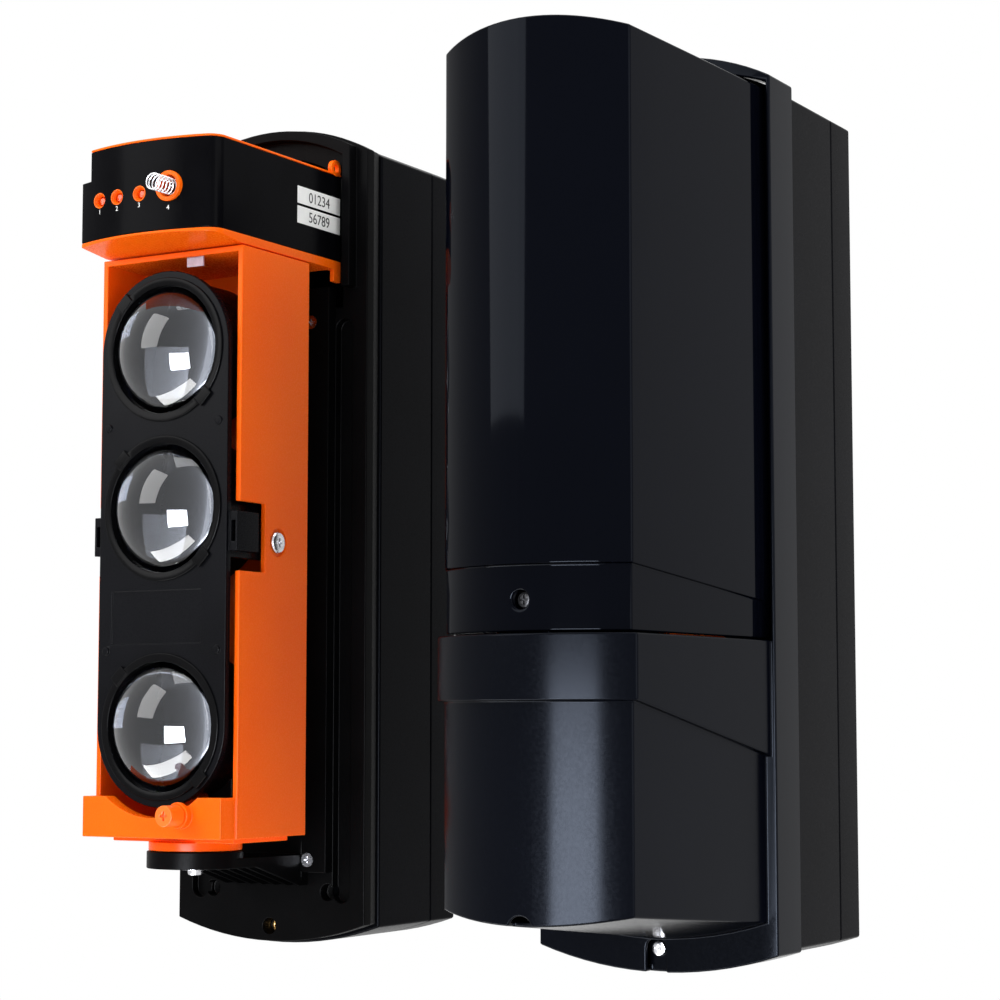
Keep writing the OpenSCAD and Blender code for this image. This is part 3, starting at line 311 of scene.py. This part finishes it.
# Rounds the upright corner at a point: squares about the rounding's centre become circles
def roundCorner(shape, corner):
    radius = headShape["corner"] * mm
    slope = math.radians(headShape["slope"])
    inward = Vector((-math.cos(slope), -math.sin(slope), 0))
    centre = corner + radius * (back + inward)
    for i in range(headShape["cuts"] + 1):
        angle = math.pi / 2 * i / headShape["cuts"]
        ray = math.cos(angle) * back + math.sin(angle) * inward
        near = [face for face in shape.faces
                if max(vertex.co.x for vertex in face.verts) > centre.x
                and min(vertex.co.y for vertex in face.verts) < centre.y]
        rims = list(dict.fromkeys(edge for face in near for edge in face.edges))
        points = list(dict.fromkeys(vertex for face in near for vertex in face.verts))
        bmesh.ops.bisect_plane(shape, geom=near + rims + points,
                               dist=headShape["slip"] * mm,
                               plane_co=centre, plane_no=ray.cross(Vector((0, 0, 1))))
    for vertex in shape.verts:
        along = (corner.x - vertex.co.x) / math.cos(slope)
        depth = vertex.co.y - corner.y + along * math.sin(slope)
        u = 1 - depth / radius
        v = 1 - along / radius
        if u > 0 and v > 0:
            pull = max(u, v) / math.hypot(u, v)
            height = vertex.co.z
            vertex.co = centre - radius * pull * (u * back + v * inward)
            vertex.co.z = height


# A copy of a node's solid with its edges rounded
def roundedCopy(node, name, rounding, corner=None):
    source = frame["nodes"][node].data
    shape = bmesh.new()
    corners = [shape.verts.new(vertex.co) for vertex in source.vertices]
    for polygon in source.polygons:
        shape.faces.new([corners[i] for i in polygon.vertices])
    bmesh.ops.remove_doubles(shape, verts=shape.verts, dist=weld)
    bmesh.ops.join_triangles(shape, faces=shape.faces, angle_shape_threshold=math.pi,
                             angle_face_threshold=math.radians(edgeShape["flat"]))
    if corner:
        roundCorner(shape, corner)
    piece = linkPiece(name, shapeMesh(shape, name))
    if rounding > 0:
        bevel = piece.modifiers.new("edges", "BEVEL")
        bevel.width = rounding * mm
        bevel.segments = edgeShape["segments"]
        bevel.limit_method = "ANGLE"
        bevel.angle_limit = math.radians(edgeShape["angle"])
        bevel.use_clamp_overlap = False
        bevel.loop_slide = False
        bakeShape(piece)
    smoothShape(piece, creases["housing"])
    return piece


# A shape turned about its own Z, from points (radius, height)
def turnedShape(name, profile, steps):
    shape = bmesh.new()
    rows = []
    for radius, height in profile:
        if radius == 0:
            rows.append([shape.verts.new((0, 0, height))] * steps)
            continue
        rows.append([shape.verts.new((radius * math.cos(2 * math.pi * i / steps),
                                      radius * math.sin(2 * math.pi * i / steps), height))
                     for i in range(steps)])
    for low, high in zip(rows, rows[1:]):
        for i in range(steps):
            j = (i + 1) % steps
            ring = []
            for corner in (low[i], low[j], high[j], high[i]):
                if corner not in ring:
                    ring.append(corner)
            if len(ring) > 2:
                shape.faces.new(ring)
    bmesh.ops.recalc_face_normals(shape, faces=shape.faces)
    return linkPiece(name, shapeMesh(shape, name))


# Housings and moving blocks

# node: (material, edge radius in mm)
edges = {
    "back_lid": ("box", 0.8), "back_box": ("box", 0.8), "gasket": ("gasket", 0.5),
    "base_plate": ("plate", 0.4), "brass_insert": ("brass", 0.15),
    "cable_grommet": ("rubber", 0.3), "terminal_block": ("terminal", 0.3),
    "cradle": ("plate", 0.3), "head_shell": ("orange", 0.25), "fascia": ("fascia", 0.3),
    "label_plates": ("white", 0.06), "head_board": ("board", 0), "indicator_leds": ("led", 0.3),
    "tamper_plunger": ("plunger", 0.2), "column": ("orange", 0.35),
    "signal_ribbon": ("ribbon", 0.1), "lens_frame": ("frame", 0.3), "lens_rings": ("ring", 0.35),
    "sensor_board": ("board", 0), "infrared_diodes": ("diode", 0.6),
    "adjusting_screw": ("adjuster", 0.3),
}
coverEdges = {"cover_frame": ("cover", 0.7), "window": ("window", 0.7)}
bodyOf = {node: body for body, names in frame["record"]["behaviour"]["bodies"].items()
          for node in names}

ringShape = {"inner": 24.3, "wide": 25.2, "outer": 25.7}


# Moves a unit's lens rings' inner walls outward, so that they frame the wider domes
def widenRings(piece, side):
    inner, wide, outer = (ringShape[key] * mm for key in ("inner", "wide", "outer"))
    centres = [nodeBox(side + "_lens_" + place)[2] for place in places]
    for vertex in piece.data.vertices:
        nearest = min(centres, key=lambda centre: abs(centre.z - vertex.co.z))
        away = Vector((vertex.co.x - nearest.x, 0, vertex.co.z - nearest.z))
        if away.length < outer:
            reach = outer - (outer - away.length) * (outer - wide) / (outer - inner)
            away *= reach / away.length
            vertex.co.x = nearest.x + away.x
            vertex.co.z = nearest.z + away.z


for side, word in sides.items():
    low, high, middle = nodeBox(side + "_fascia")
    headCorner = Vector((high.x, low.y + headShape["bulge"] * mm, 0))
    for part, (material, rounding) in edges.items():
        node = side + "_" + part
        corner = headCorner if part in ("head_shell", "fascia") else None
        piece = roundedCopy(node, word + "_" + part, rounding, corner)
        if part == "lens_rings":
            widenRings(piece, side)
        finishPiece(piece, bodyOf[node], material, node)
for part, (material, rounding) in coverEdges.items():
    piece = roundedCopy("tx_" + part, "transmitter_" + part, rounding)
    finishPiece(piece, bodyOf["tx_" + part], material, "tx_" + part)
print("housings done")


# Lenses

lensShape = {"edge": 6.5, "step": 0.4, "dome": 13.2, "round": 0.25, "rings": 40, "steps": 128}


def makeLens(node, name):
    low, high, centre = nodeBox(node)
    radius = (high.x - low.x) / 2
    edge = lensShape["edge"] * mm
    domeRadius = radius - lensShape["step"] * mm
    domeHeight = lensShape["dome"] * mm
    ball = (domeRadius ** 2 + domeHeight ** 2) / (2 * domeHeight)
    soft = lensShape["round"] * mm
    profile = [(0, 0), (radius - soft, 0), (radius, soft), (radius, edge - soft),
               (radius - soft, edge)]
    reach = math.asin(domeRadius / ball)
    for i in range(lensShape["rings"]):
        angle = reach * (1 - i / lensShape["rings"])
        profile.append((ball * math.sin(angle),
                        edge + domeHeight - ball + ball * math.cos(angle)))
    profile.append((0, edge + domeHeight))
    piece = turnedShape(name, profile, lensShape["steps"])
    piece.data.transform(Matrix.Translation((centre.x, high.y, centre.z))
                         @ facingFront)
    shadeSmooth(piece, creases["lens"])
    return piece


baffleShape = {"hole": 6, "radius": 24.65, "thick": 0.6, "depth": 113, "steps": 96}


# Dark baffle in a lens barrel, with a hole for the light in front of the diode
def makeBaffle(node, name):
    low, high, centre = nodeBox(node)
    hole, radius, thick = (baffleShape[key] * mm for key in ("hole", "radius", "thick"))
    profile = [(hole, 0), (radius, 0), (radius, thick), (hole, thick), (hole, 0)]
    piece = turnedShape(name, profile, baffleShape["steps"])
    shape = bmesh.new()
    shape.from_mesh(piece.data)
    bmesh.ops.remove_doubles(shape, verts=shape.verts, dist=weld)
    bmesh.ops.recalc_face_normals(shape, faces=shape.faces)
    shape.to_mesh(piece.data)
    shape.free()
    piece.data.transform(Matrix.Translation((centre.x, -baffleShape["depth"] * mm, centre.z))
                         @ facingFront)
    return piece


for side, word in sides.items():
    for place in places:
        node = side + "_lens_" + place
        finishPiece(makeLens(node, word + "_lens_" + place), side + "_tilt", "lens", node)
        finishPiece(makeBaffle(node, word + "_baffle_" + place), side + "_tilt", "frame")
print("lenses done")


# Tamper springs

springShape = {"turns": 7, "endTurns": 1, "endShare": 0.55, "radius": 3.1, "wire": 0.3,
               "rings": 28, "sides": 10}


def makeSpring(node, name):
    low, high, centre = nodeBox(node)
    wire = springShape["wire"] * mm
    radius = springShape["radius"] * mm
    rise = high.y - low.y - 2 * wire
    free = springShape["turns"] + 2 * springShape["endTurns"] * springShape["endShare"]
    pitch = rise / free
    allTurns = springShape["turns"] + 2 * springShape["endTurns"]
    shape = bmesh.new()
    loops = []
    for step in range(allTurns * springShape["rings"] + 1):
        turn = step / springShape["rings"]
        first = min(turn, springShape["endTurns"]) * pitch * springShape["endShare"]
        last = max(0, turn - springShape["endTurns"] - springShape["turns"])
        middle = max(0, turn - springShape["endTurns"]) - last
        climb = first + middle * pitch + last * pitch * springShape["endShare"]
        outward = Vector((math.cos(2 * math.pi * turn), 0, math.sin(2 * math.pi * turn)))
        point = Vector((centre.x, high.y - wire - climb, centre.z)) + radius * outward
        loops.append([shape.verts.new(point + wire * (
            math.cos(2 * math.pi * k / springShape["sides"]) * outward
            + math.sin(2 * math.pi * k / springShape["sides"]) * back))
            for k in range(springShape["sides"])])
    for one, two in zip(loops, loops[1:]):
        for k in range(springShape["sides"]):
            j = (k + 1) % springShape["sides"]
            shape.faces.new((one[k], one[j], two[j], two[k]))
    shape.faces.new(loops[0])
    shape.faces.new(loops[-1])
    bmesh.ops.recalc_face_normals(shape, faces=shape.faces)
    piece = linkPiece(name, shapeMesh(shape, name))
    shadeSmooth(piece, creases["spring"])
    return piece


for side, word in sides.items():
    node = side + "_tamper_spring"
    finishPiece(makeSpring(node, word + "_tamper_spring"), side + "_tamper", "steel", node)
print("springs done")


# Screws, set out by a node tree

# A tree that puts a prototype at every vertex, turned to the vertex's stored direction
def placingTree(name):
    tree = bpy.data.node_groups.new(name, "GeometryNodeTree")
    tree.interface.new_socket("Geometry", in_out="INPUT", socket_type="NodeSocketGeometry")
    tree.interface.new_socket("Screw", in_out="INPUT", socket_type="NodeSocketObject")
    tree.interface.new_socket("Size", in_out="INPUT", socket_type="NodeSocketFloat")
    tree.interface.new_socket("Material", in_out="INPUT", socket_type="NodeSocketMaterial")
    tree.interface.new_socket("Geometry", in_out="OUTPUT", socket_type="NodeSocketGeometry")
    start = tree.nodes.new("NodeGroupInput")
    end = tree.nodes.new("NodeGroupOutput")
    info = tree.nodes.new("GeometryNodeObjectInfo")
    info.inputs["As Instance"].default_value = True
    facing = tree.nodes.new("GeometryNodeInputNamedAttribute")
    facing.data_type = "FLOAT_VECTOR"
    facing.inputs["Name"].default_value = "facing"
    turn = tree.nodes.new("FunctionNodeAlignRotationToVector")
    turn.axis = "Z"
    copies = tree.nodes.new("GeometryNodeInstanceOnPoints")
    solid = tree.nodes.new("GeometryNodeRealizeInstances")
    paint = tree.nodes.new("GeometryNodeSetMaterial")
    links = tree.links
    links.new(start.outputs["Screw"], info.inputs["Object"])
    links.new(facing.outputs["Attribute"], turn.inputs["Vector"])
    links.new(start.outputs["Geometry"], copies.inputs["Points"])
    links.new(info.outputs["Geometry"], copies.inputs["Instance"])
    links.new(turn.outputs["Rotation"], copies.inputs["Rotation"])
    links.new(start.outputs["Size"], copies.inputs["Scale"])
    links.new(copies.outputs["Instances"], solid.inputs["Geometry"])
    links.new(solid.outputs["Geometry"], paint.inputs["Geometry"])
    links.new(start.outputs["Material"], paint.inputs["Material"])
    links.new(paint.outputs["Geometry"], end.inputs["Geometry"])
    return tree


def setInput(modifier, label, value):
    for item in modifier.node_group.interface.items_tree:
        if item.in_out == "INPUT" and item.name == label:
            modifier[item.identifier] = value


screwSteps = 40


# Height of a screw's top above its own zero
def topOf(kind):
    return kind["profile"][-1][1] * mm


# One screw with its head up: profile in mm, cross recess cut from the top
def makeScrew(name, kind):
    profile = [(radius * mm, height * mm) for radius, height in kind["profile"]]
    screw = turnedShape(name, profile, screwSteps)
    cutter = bmesh.new()
    for turn in (0, math.pi / 2):
        arm = bmesh.ops.create_cube(cutter, size=1)["verts"]
        bmesh.ops.scale(cutter, verts=arm,
                        vec=(2 * kind["recess"] * mm, kind["blade"] * mm, 2 * kind["deep"] * mm))
        bmesh.ops.rotate(cutter, verts=arm, cent=(0, 0, 0), matrix=Matrix.Rotation(turn, 3, "Z"))
        bmesh.ops.translate(cutter, verts=arm, vec=(0, 0, topOf(kind)))
    cutterObject = linkPiece(name + "Cutter", shapeMesh(cutter, name + "Cutter"))
    cut = screw.modifiers.new("recess", "BOOLEAN")
    cut.object = cutterObject
    cut.solver = "EXACT"
    cut.use_self = True
    bakeShape(screw)
    bpy.data.objects.remove(cutterObject)
    shadeSmooth(screw, creases["screw"])
    return screw


def placeScrews(name, screw, points, facing, body, material, *nodes):
    mesh = bpy.data.meshes.new(name)
    mesh.from_pydata([tuple(point) for point in points], [], [])
    attribute = mesh.attributes.new("facing", "FLOAT_VECTOR", "POINT")
    for i, direction in enumerate(facing):
        attribute.data[i].vector = direction
    piece = linkPiece(name, mesh)
    modifier = piece.modifiers.new("screws", "NODES")
    modifier.node_group = screwTree
    setInput(modifier, "Screw", screw)
    setInput(modifier, "Size", 1.0)
    setInput(modifier, "Material", materials[material])
    bakeShape(piece)
    for left in [item.name for item in piece.data.attributes if item.name == "facing"]:
        piece.data.attributes.remove(piece.data.attributes[left])
    finishPiece(piece, body, material, *nodes)


screwKinds = {
    "web": {"profile": [(0, -9.4), (1.1, -9.4), (1.5, -9), (1.5, -1.4), (2.85, -0.1), (2.8, 0),
                        (0, 0)], "recess": 1.5, "blade": 0.7, "deep": 0.9},
    "head": {"profile": [(0, -12.7), (1.1, -12.7), (1.5, -12.3), (1.5, 0), (2.9, 0),
                         (2.9, 1.2), (2.5, 1.9), (1.6, 2.2), (0, 2.2)],
             "recess": 1.6, "blade": 0.8, "deep": 1.2},
    "tilt": {"profile": [(0, -6.4), (2.1, -6.4), (2.4, -6.1), (2.4, 0.1), (4.2, 0.1),
                         (4.2, 0.9), (3.8, 1.45), (3, 1.65), (0, 1.65)],
             "recess": 1.8, "blade": 0.9, "deep": 1.1},
    "pan": {"profile": [(0, -12.3), (1.1, -12.3), (1.5, -11.9), (1.5, 0.05), (6.6, 0.05),
                        (6.6, 0.6), (2.9, 0.6), (2.9, 1.9), (2.5, 2.6), (1.6, 2.8), (0, 2.8)],
            "recess": 1.6, "blade": 0.8, "deep": 1.2},
    "window": {"profile": [(0, -7.2), (1.1, -7.2), (1.5, -6.8), (1.5, 0), (2.9, 0), (2.9, 1.2),
                           (2.5, 1.9), (1.6, 2.2), (0, 2.2)],
               "recess": 1.6, "blade": 0.8, "deep": 1.2},
    "cover": {"profile": [(0, -20.5), (1.1, -20.5), (1.5, -20.1), (1.5, 0), (2.9, 0),
                          (2.9, 1.2), (2.5, 1.9), (1.6, 2.2), (0, 2.2)],
              "recess": 1.6, "blade": 0.8, "deep": 1.2},
}
shortScrew = 12
screwTree = placingTree("screwsOnPoints")
screws = {name: makeScrew(name + "Screw", kind) for name, kind in screwKinds.items()}


# The lowest and highest corner of each loose solid of a node
def solidsOf(node):
    shape = bmesh.new()
    shape.from_mesh(frame["nodes"][node].data)
    bmesh.ops.remove_doubles(shape, verts=shape.verts, dist=weld)
    left = set(shape.verts)
    found = []
    for first in shape.verts:
        if first not in left:
            continue
        left.discard(first)
        group = [first]
        for vertex in group:
            for edge in vertex.link_edges:
                other = edge.other_vert(vertex)
                if other in left:
                    left.discard(other)
                    group.append(other)
        lows = Vector([min(vertex.co[axis] for vertex in group) for axis in range(3)])
        highs = Vector([max(vertex.co[axis] for vertex in group) for axis in range(3)])
        found.append((lows, highs))
    shape.free()
    return found


for side, word in sides.items():
    webPoints = []
    headPoints = []
    for lows, highs in solidsOf(side + "_base_screws"):
        middle = (lows + highs) / 2
        if highs.y - lows.y < shortScrew * mm:
            webPoints.append((middle.x, lows.y, middle.z))
        else:
            headPoints.append((middle.x, highs.y - topOf(screwKinds["head"]), middle.z))
    placeScrews(word + "_web_screws", screws["web"], webPoints, [front] * len(webPoints),
                "base", "steel", side + "_base_screws")
    placeScrews(word + "_head_screws", screws["head"], headPoints, [back] * len(headPoints),
                "base", "steel")
    low, high, middle = nodeBox(side + "_tilt_screws")
    seat = topOf(screwKinds["tilt"])
    placeScrews(word + "_tilt_screws", screws["tilt"],
                [(low.x + seat, middle.y, middle.z), (high.x - seat, middle.y, middle.z)],
                [Vector((-1, 0, 0)), Vector((1, 0, 0))], side + "_tilt", "steel",
                side + "_tilt_screws")
    low, high, middle = nodeBox(side + "_pan_screw")
    placeScrews(word + "_pan_screw", screws["pan"],
                [(middle.x, middle.y, low.z + topOf(screwKinds["pan"]))],
                [Vector((0, 0, -1))], side + "_pan", "steel", side + "_pan_screw")
for part, material in (("window_screw", "black_screw"), ("cover_screw", "steel")):
    low, high, middle = nodeBox("tx_" + part)
    kind = part.split("_")[0]
    placeScrews("transmitter_" + part, screws[kind],
                [(middle.x, low.y + topOf(screwKinds[kind]), middle.z)], [front],
                bodyOf["tx_" + part], material, "tx_" + part)
for screw in screws.values():
    bpy.data.objects.remove(screw)
print("screws done")


# Rows of small parts on the boards, set out by a node tree

def rowTree(name):
    tree = bpy.data.node_groups.new(name, "GeometryNodeTree")
    for label, kind in (("Count", "Int"), ("Start", "Vector"), ("Step", "Vector"),
                        ("Size", "Vector"), ("Material", "Material")):
        tree.interface.new_socket(label, in_out="INPUT", socket_type="NodeSocket" + kind)
    tree.interface.new_socket("Geometry", in_out="OUTPUT", socket_type="NodeSocketGeometry")
    start = tree.nodes.new("NodeGroupInput")
    end = tree.nodes.new("NodeGroupOutput")
    line = tree.nodes.new("GeometryNodeMeshLine")
    block = tree.nodes.new("GeometryNodeMeshCube")
    copies = tree.nodes.new("GeometryNodeInstanceOnPoints")
    solid = tree.nodes.new("GeometryNodeRealizeInstances")
    paint = tree.nodes.new("GeometryNodeSetMaterial")
    links = tree.links
    links.new(start.outputs["Count"], line.inputs["Count"])
    links.new(start.outputs["Start"], line.inputs["Start Location"])
    links.new(start.outputs["Step"], line.inputs["Offset"])
    links.new(start.outputs["Size"], block.inputs["Size"])
    links.new(line.outputs["Mesh"], copies.inputs["Points"])
    links.new(block.outputs["Mesh"], copies.inputs["Instance"])
    links.new(copies.outputs["Instances"], solid.inputs["Geometry"])
    links.new(solid.outputs["Geometry"], paint.inputs["Geometry"])
    links.new(start.outputs["Material"], paint.inputs["Material"])
    links.new(paint.outputs["Geometry"], end.inputs["Geometry"])
    return tree


partRows = rowTree("partsInRow")


def placeRow(name, row, start, body):
    piece = linkPiece(name, bpy.data.meshes.new(name))
    modifier = piece.modifiers.new("row", "NODES")
    modifier.node_group = partRows
    setInput(modifier, "Count", row["count"])
    setInput(modifier, "Start", start)
    setInput(modifier, "Step", [value * mm for value in row["step"]])
    setInput(modifier, "Size", [value * mm for value in row["size"]])
    setInput(modifier, "Material", materials[row["material"]])
    bakeShape(piece)
    bevel = piece.modifiers.new("edges", "BEVEL")
    bevel.width = row["round"] * mm
    bevel.segments = edgeShape["segments"]
    bakeShape(piece)
    finishPiece(piece, body, row["material"])


boardRows = {
    "chips": {"count": 4, "step": (0, 0, 22), "size": (6, 1.2, 9), "material": "plunger",
              "round": 0.2, "offset": (0, -54)},
    "pads": {"count": 14, "step": (0, 0, 9), "size": (2.4, 0.9, 1.3), "material": "steel",
             "round": 0.15, "offset": (-7, -60)},
    "headers": {"count": 6, "step": (2.54, 0, 0), "size": (1.6, 1.4, 5), "material": "ribbon",
                "round": 0.15, "offset": (-6.35, 70)},
}
for side, word in sides.items():
    low, high, middle = nodeBox(side + "_sensor_board")
    for label, row in boardRows.items():
        start = Vector((middle.x + row["offset"][0] * mm,
                        high.y + row["size"][1] * mm / 2, middle.z + row["offset"][1] * mm))
        placeRow(word + "_board_" + label, row, start, side + "_tilt")
print("board parts done")


# Plain numbers on the head

numberMarks = {"size": 2.6, "thick": 0.08, "below": 5.4, "ringDrop": 2.2, "lift": 0.02,
               "places": {"1": -21.54, "2": -11.51, "3": 0, "4": 13.5}}
plateMarks = {"size": 6, "thick": 0.06, "share": 0.35, "digits": ["01234", "56789"]}


# Numerals in the XY plane
def numerals(digits, marks):
    words = bpy.data.curves.new("numerals", "FONT")
    words.body = digits
    words.size = marks["size"] * mm
    words.align_x = "CENTER"
    words.extrude = marks["thick"] * mm / 2
    letters = linkPiece("numerals", words)
    bpy.context.view_layer.update()
    mesh = bpy.data.meshes.new_from_object(
        letters.evaluated_get(bpy.context.evaluated_depsgraph_get()))
    bpy.data.objects.remove(letters)
    return mesh


def meshPiece(shape, name, material):
    finishPiece(linkPiece(name, shapeMesh(shape, name)), "base", material)


# Numbers under the indicators and the tamper spring, bent on to the head's curved front
def makeFrontNumbers(side, word):
    low, high, middle = nodeBox(side + "_fascia")
    half = (high.x - low.x) / 2
    bulge = headShape["bulge"] * mm
    arc = (half ** 2 + bulge ** 2) / (2 * bulge)
    ledMiddle = nodeBox(side + "_indicator_leds")[2]
    height = ledMiddle.z - numberMarks["below"] * mm
    whole = bmesh.new()
    for digit, x in numberMarks["places"].items():
        mesh = numerals(digit, numberMarks)
        drop = numberMarks["ringDrop"] * mm if digit == "4" else 0
        mesh.transform(Matrix.Translation((x * mm, 0, height - drop))
                       @ facingFront)
        whole.from_mesh(mesh)
    lift = (numberMarks["thick"] / 2 + numberMarks["lift"]) * mm
    for vertex in whole.verts:
        skin = low.y + arc - math.sqrt(arc ** 2 - vertex.co.x ** 2)
        vertex.co.y += skin - lift
        vertex.co.x += middle.x
    meshPiece(whole, word + "_numbers", "white")


# Black numbers on the white plates of the head's right side
def makePlateNumbers(side, word):
    whole = bmesh.new()
    plates = sorted(solidsOf(side + "_label_plates"), key=lambda box: -box[0].z)
    for digits, (lows, highs) in zip(plateMarks["digits"], plates):
        middle = (lows + highs) / 2
        mesh = numerals(digits, plateMarks)
        x = highs.x + (plateMarks["thick"] / 2 + numberMarks["lift"]) * mm
        z = middle.z - plateMarks["share"] * plateMarks["size"] * mm
        mesh.transform(Matrix(((0, 0, 1, x), (1, 0, 0, middle.y), (0, 1, 0, z), (0, 0, 0, 1))))
        whole.from_mesh(mesh)
    meshPiece(whole, word + "_plate_numbers", "plunger")


for side, word in sides.items():
    makeFrontNumbers(side, word)
    makePlateNumbers(side, word)
print("numbers done")


# Camera, floor and light

view = {"place": (0.4061, -0.8821, -0.0877), "along": (-0.505, 0.858, 0.0934), "lens": 87.1}
camera = bpy.data.objects.new("camera", bpy.data.cameras.new("camera"))
scene.collection.objects.link(camera)
along = Vector(view["along"]).normalized()
across = along.cross(Vector((0, 0, 1))).normalized()
upward = across.cross(along)
camera.matrix_world = Matrix((
    (across.x, upward.x, -along.x, view["place"][0]),
    (across.y, upward.y, -along.y, view["place"][1]),
    (across.z, upward.z, -along.z, view["place"][2]),
    (0, 0, 0, 1)))
camera.data.lens = view["lens"]
camera.data.sensor_width = 36
camera.data.clip_start = 0.01
camera.data.clip_end = 100
camera.data.dof.use_dof = False
scene.camera = camera

studio = {"floor": -0.72, "floorSize": 30, "floorTone": 0.85, "floorRough": 0.9,
          "ambient": 1.0, "white": 1.0, "target": (-0.09, -0.08, -0.01)}
lamps = {
    "keyLamp": {"place": (-1.1, -1.5, 0.9), "size": (1.0, 1.4), "power": 22},
    "sideLamp": {"place": (1.7, -0.5, 0.5), "size": (1.2, 1.6), "power": 16},
    "topLamp": {"place": (0.0, -0.2, 1.6), "size": (1.4, 1.0), "power": 14},
    "shineLamp": {"place": (0.2, -1.6, -0.45), "size": (0.85, 0.8), "power": 105,
                  "color": (0.9, 0.93, 1)},
    "lowLamp": {"place": (-0.25, -0.5, -0.66), "size": (1.0, 0.22), "power": 9},
}
glossOnly = ["shineLamp", "lowLamp"]


# White to the camera and in gloss and glass, the ordinary shader otherwise
def seenWhite(tree, ordinary, white, output):
    rays = tree.nodes.new("ShaderNodeLightPath")
    first = tree.nodes.new("ShaderNodeMath")
    first.operation = "MAXIMUM"
    second = tree.nodes.new("ShaderNodeMath")
    second.operation = "MAXIMUM"
    mix = tree.nodes.new("ShaderNodeMixShader")
    tree.links.new(rays.outputs["Is Camera Ray"], first.inputs[0])
    tree.links.new(rays.outputs["Is Glossy Ray"], first.inputs[1])
    tree.links.new(first.outputs[0], second.inputs[0])
    tree.links.new(rays.outputs["Is Transmission Ray"], second.inputs[1])
    tree.links.new(second.outputs[0], mix.inputs["Fac"])
    tree.links.new(ordinary, mix.inputs[1])
    tree.links.new(white, mix.inputs[2])
    tree.links.new(mix.outputs[0], output)


world = bpy.data.worlds.new("studio")
world.use_nodes = True
scene.world = world
worldTree = world.node_tree
ambient = worldTree.nodes["Background"]
ambient.inputs["Color"].default_value = (1, 1, 1, 1)
ambient.inputs["Strength"].default_value = studio["ambient"]
whiteBack = worldTree.nodes.new("ShaderNodeBackground")
whiteBack.inputs["Color"].default_value = (1, 1, 1, 1)
whiteBack.inputs["Strength"].default_value = studio["white"]
seenWhite(worldTree, ambient.outputs[0], whiteBack.outputs[0],
          worldTree.nodes["World Output"].inputs["Surface"])

floorMesh = bpy.data.meshes.new("floor")
reach = studio["floorSize"] / 2
floorMesh.from_pydata([(-reach, -reach, studio["floor"]), (reach, -reach, studio["floor"]),
                       (reach, reach, studio["floor"]), (-reach, reach, studio["floor"])],
                      [], [(0, 1, 2, 3)])
floor = linkPiece("floor", floorMesh)
floorPaint = bpy.data.materials.new("floor")
floorPaint.use_nodes = True
floorTree = floorPaint.node_tree
floorShader = floorTree.nodes["Principled BSDF"]
floorShader.inputs["Base Color"].default_value = (*[studio["floorTone"]] * 3, 1)
floorShader.inputs["Roughness"].default_value = studio["floorRough"]
whiteFloor = floorTree.nodes.new("ShaderNodeEmission")
whiteFloor.inputs["Strength"].default_value = studio["white"]
seenWhite(floorTree, floorShader.outputs[0], whiteFloor.outputs[0],
          floorTree.nodes["Material Output"].inputs["Surface"])
floor.data.materials.append(floorPaint)

target = Vector(studio["target"])
for name, lamp in lamps.items():
    light = bpy.data.lights.new(name, "AREA")
    light.shape = "RECTANGLE"
    light.size, light.size_y = lamp["size"]
    light.energy = lamp["power"]
    light.color = lamp.get("color", (1, 1, 1))
    holder = bpy.data.objects.new(name, light)
    scene.collection.objects.link(holder)
    holder.location = lamp["place"]
    holder.rotation_euler = (target - Vector(lamp["place"])).to_track_quat("-Z", "Y").to_euler()
    holder.visible_diffuse = name not in glossOnly
print("studio done")
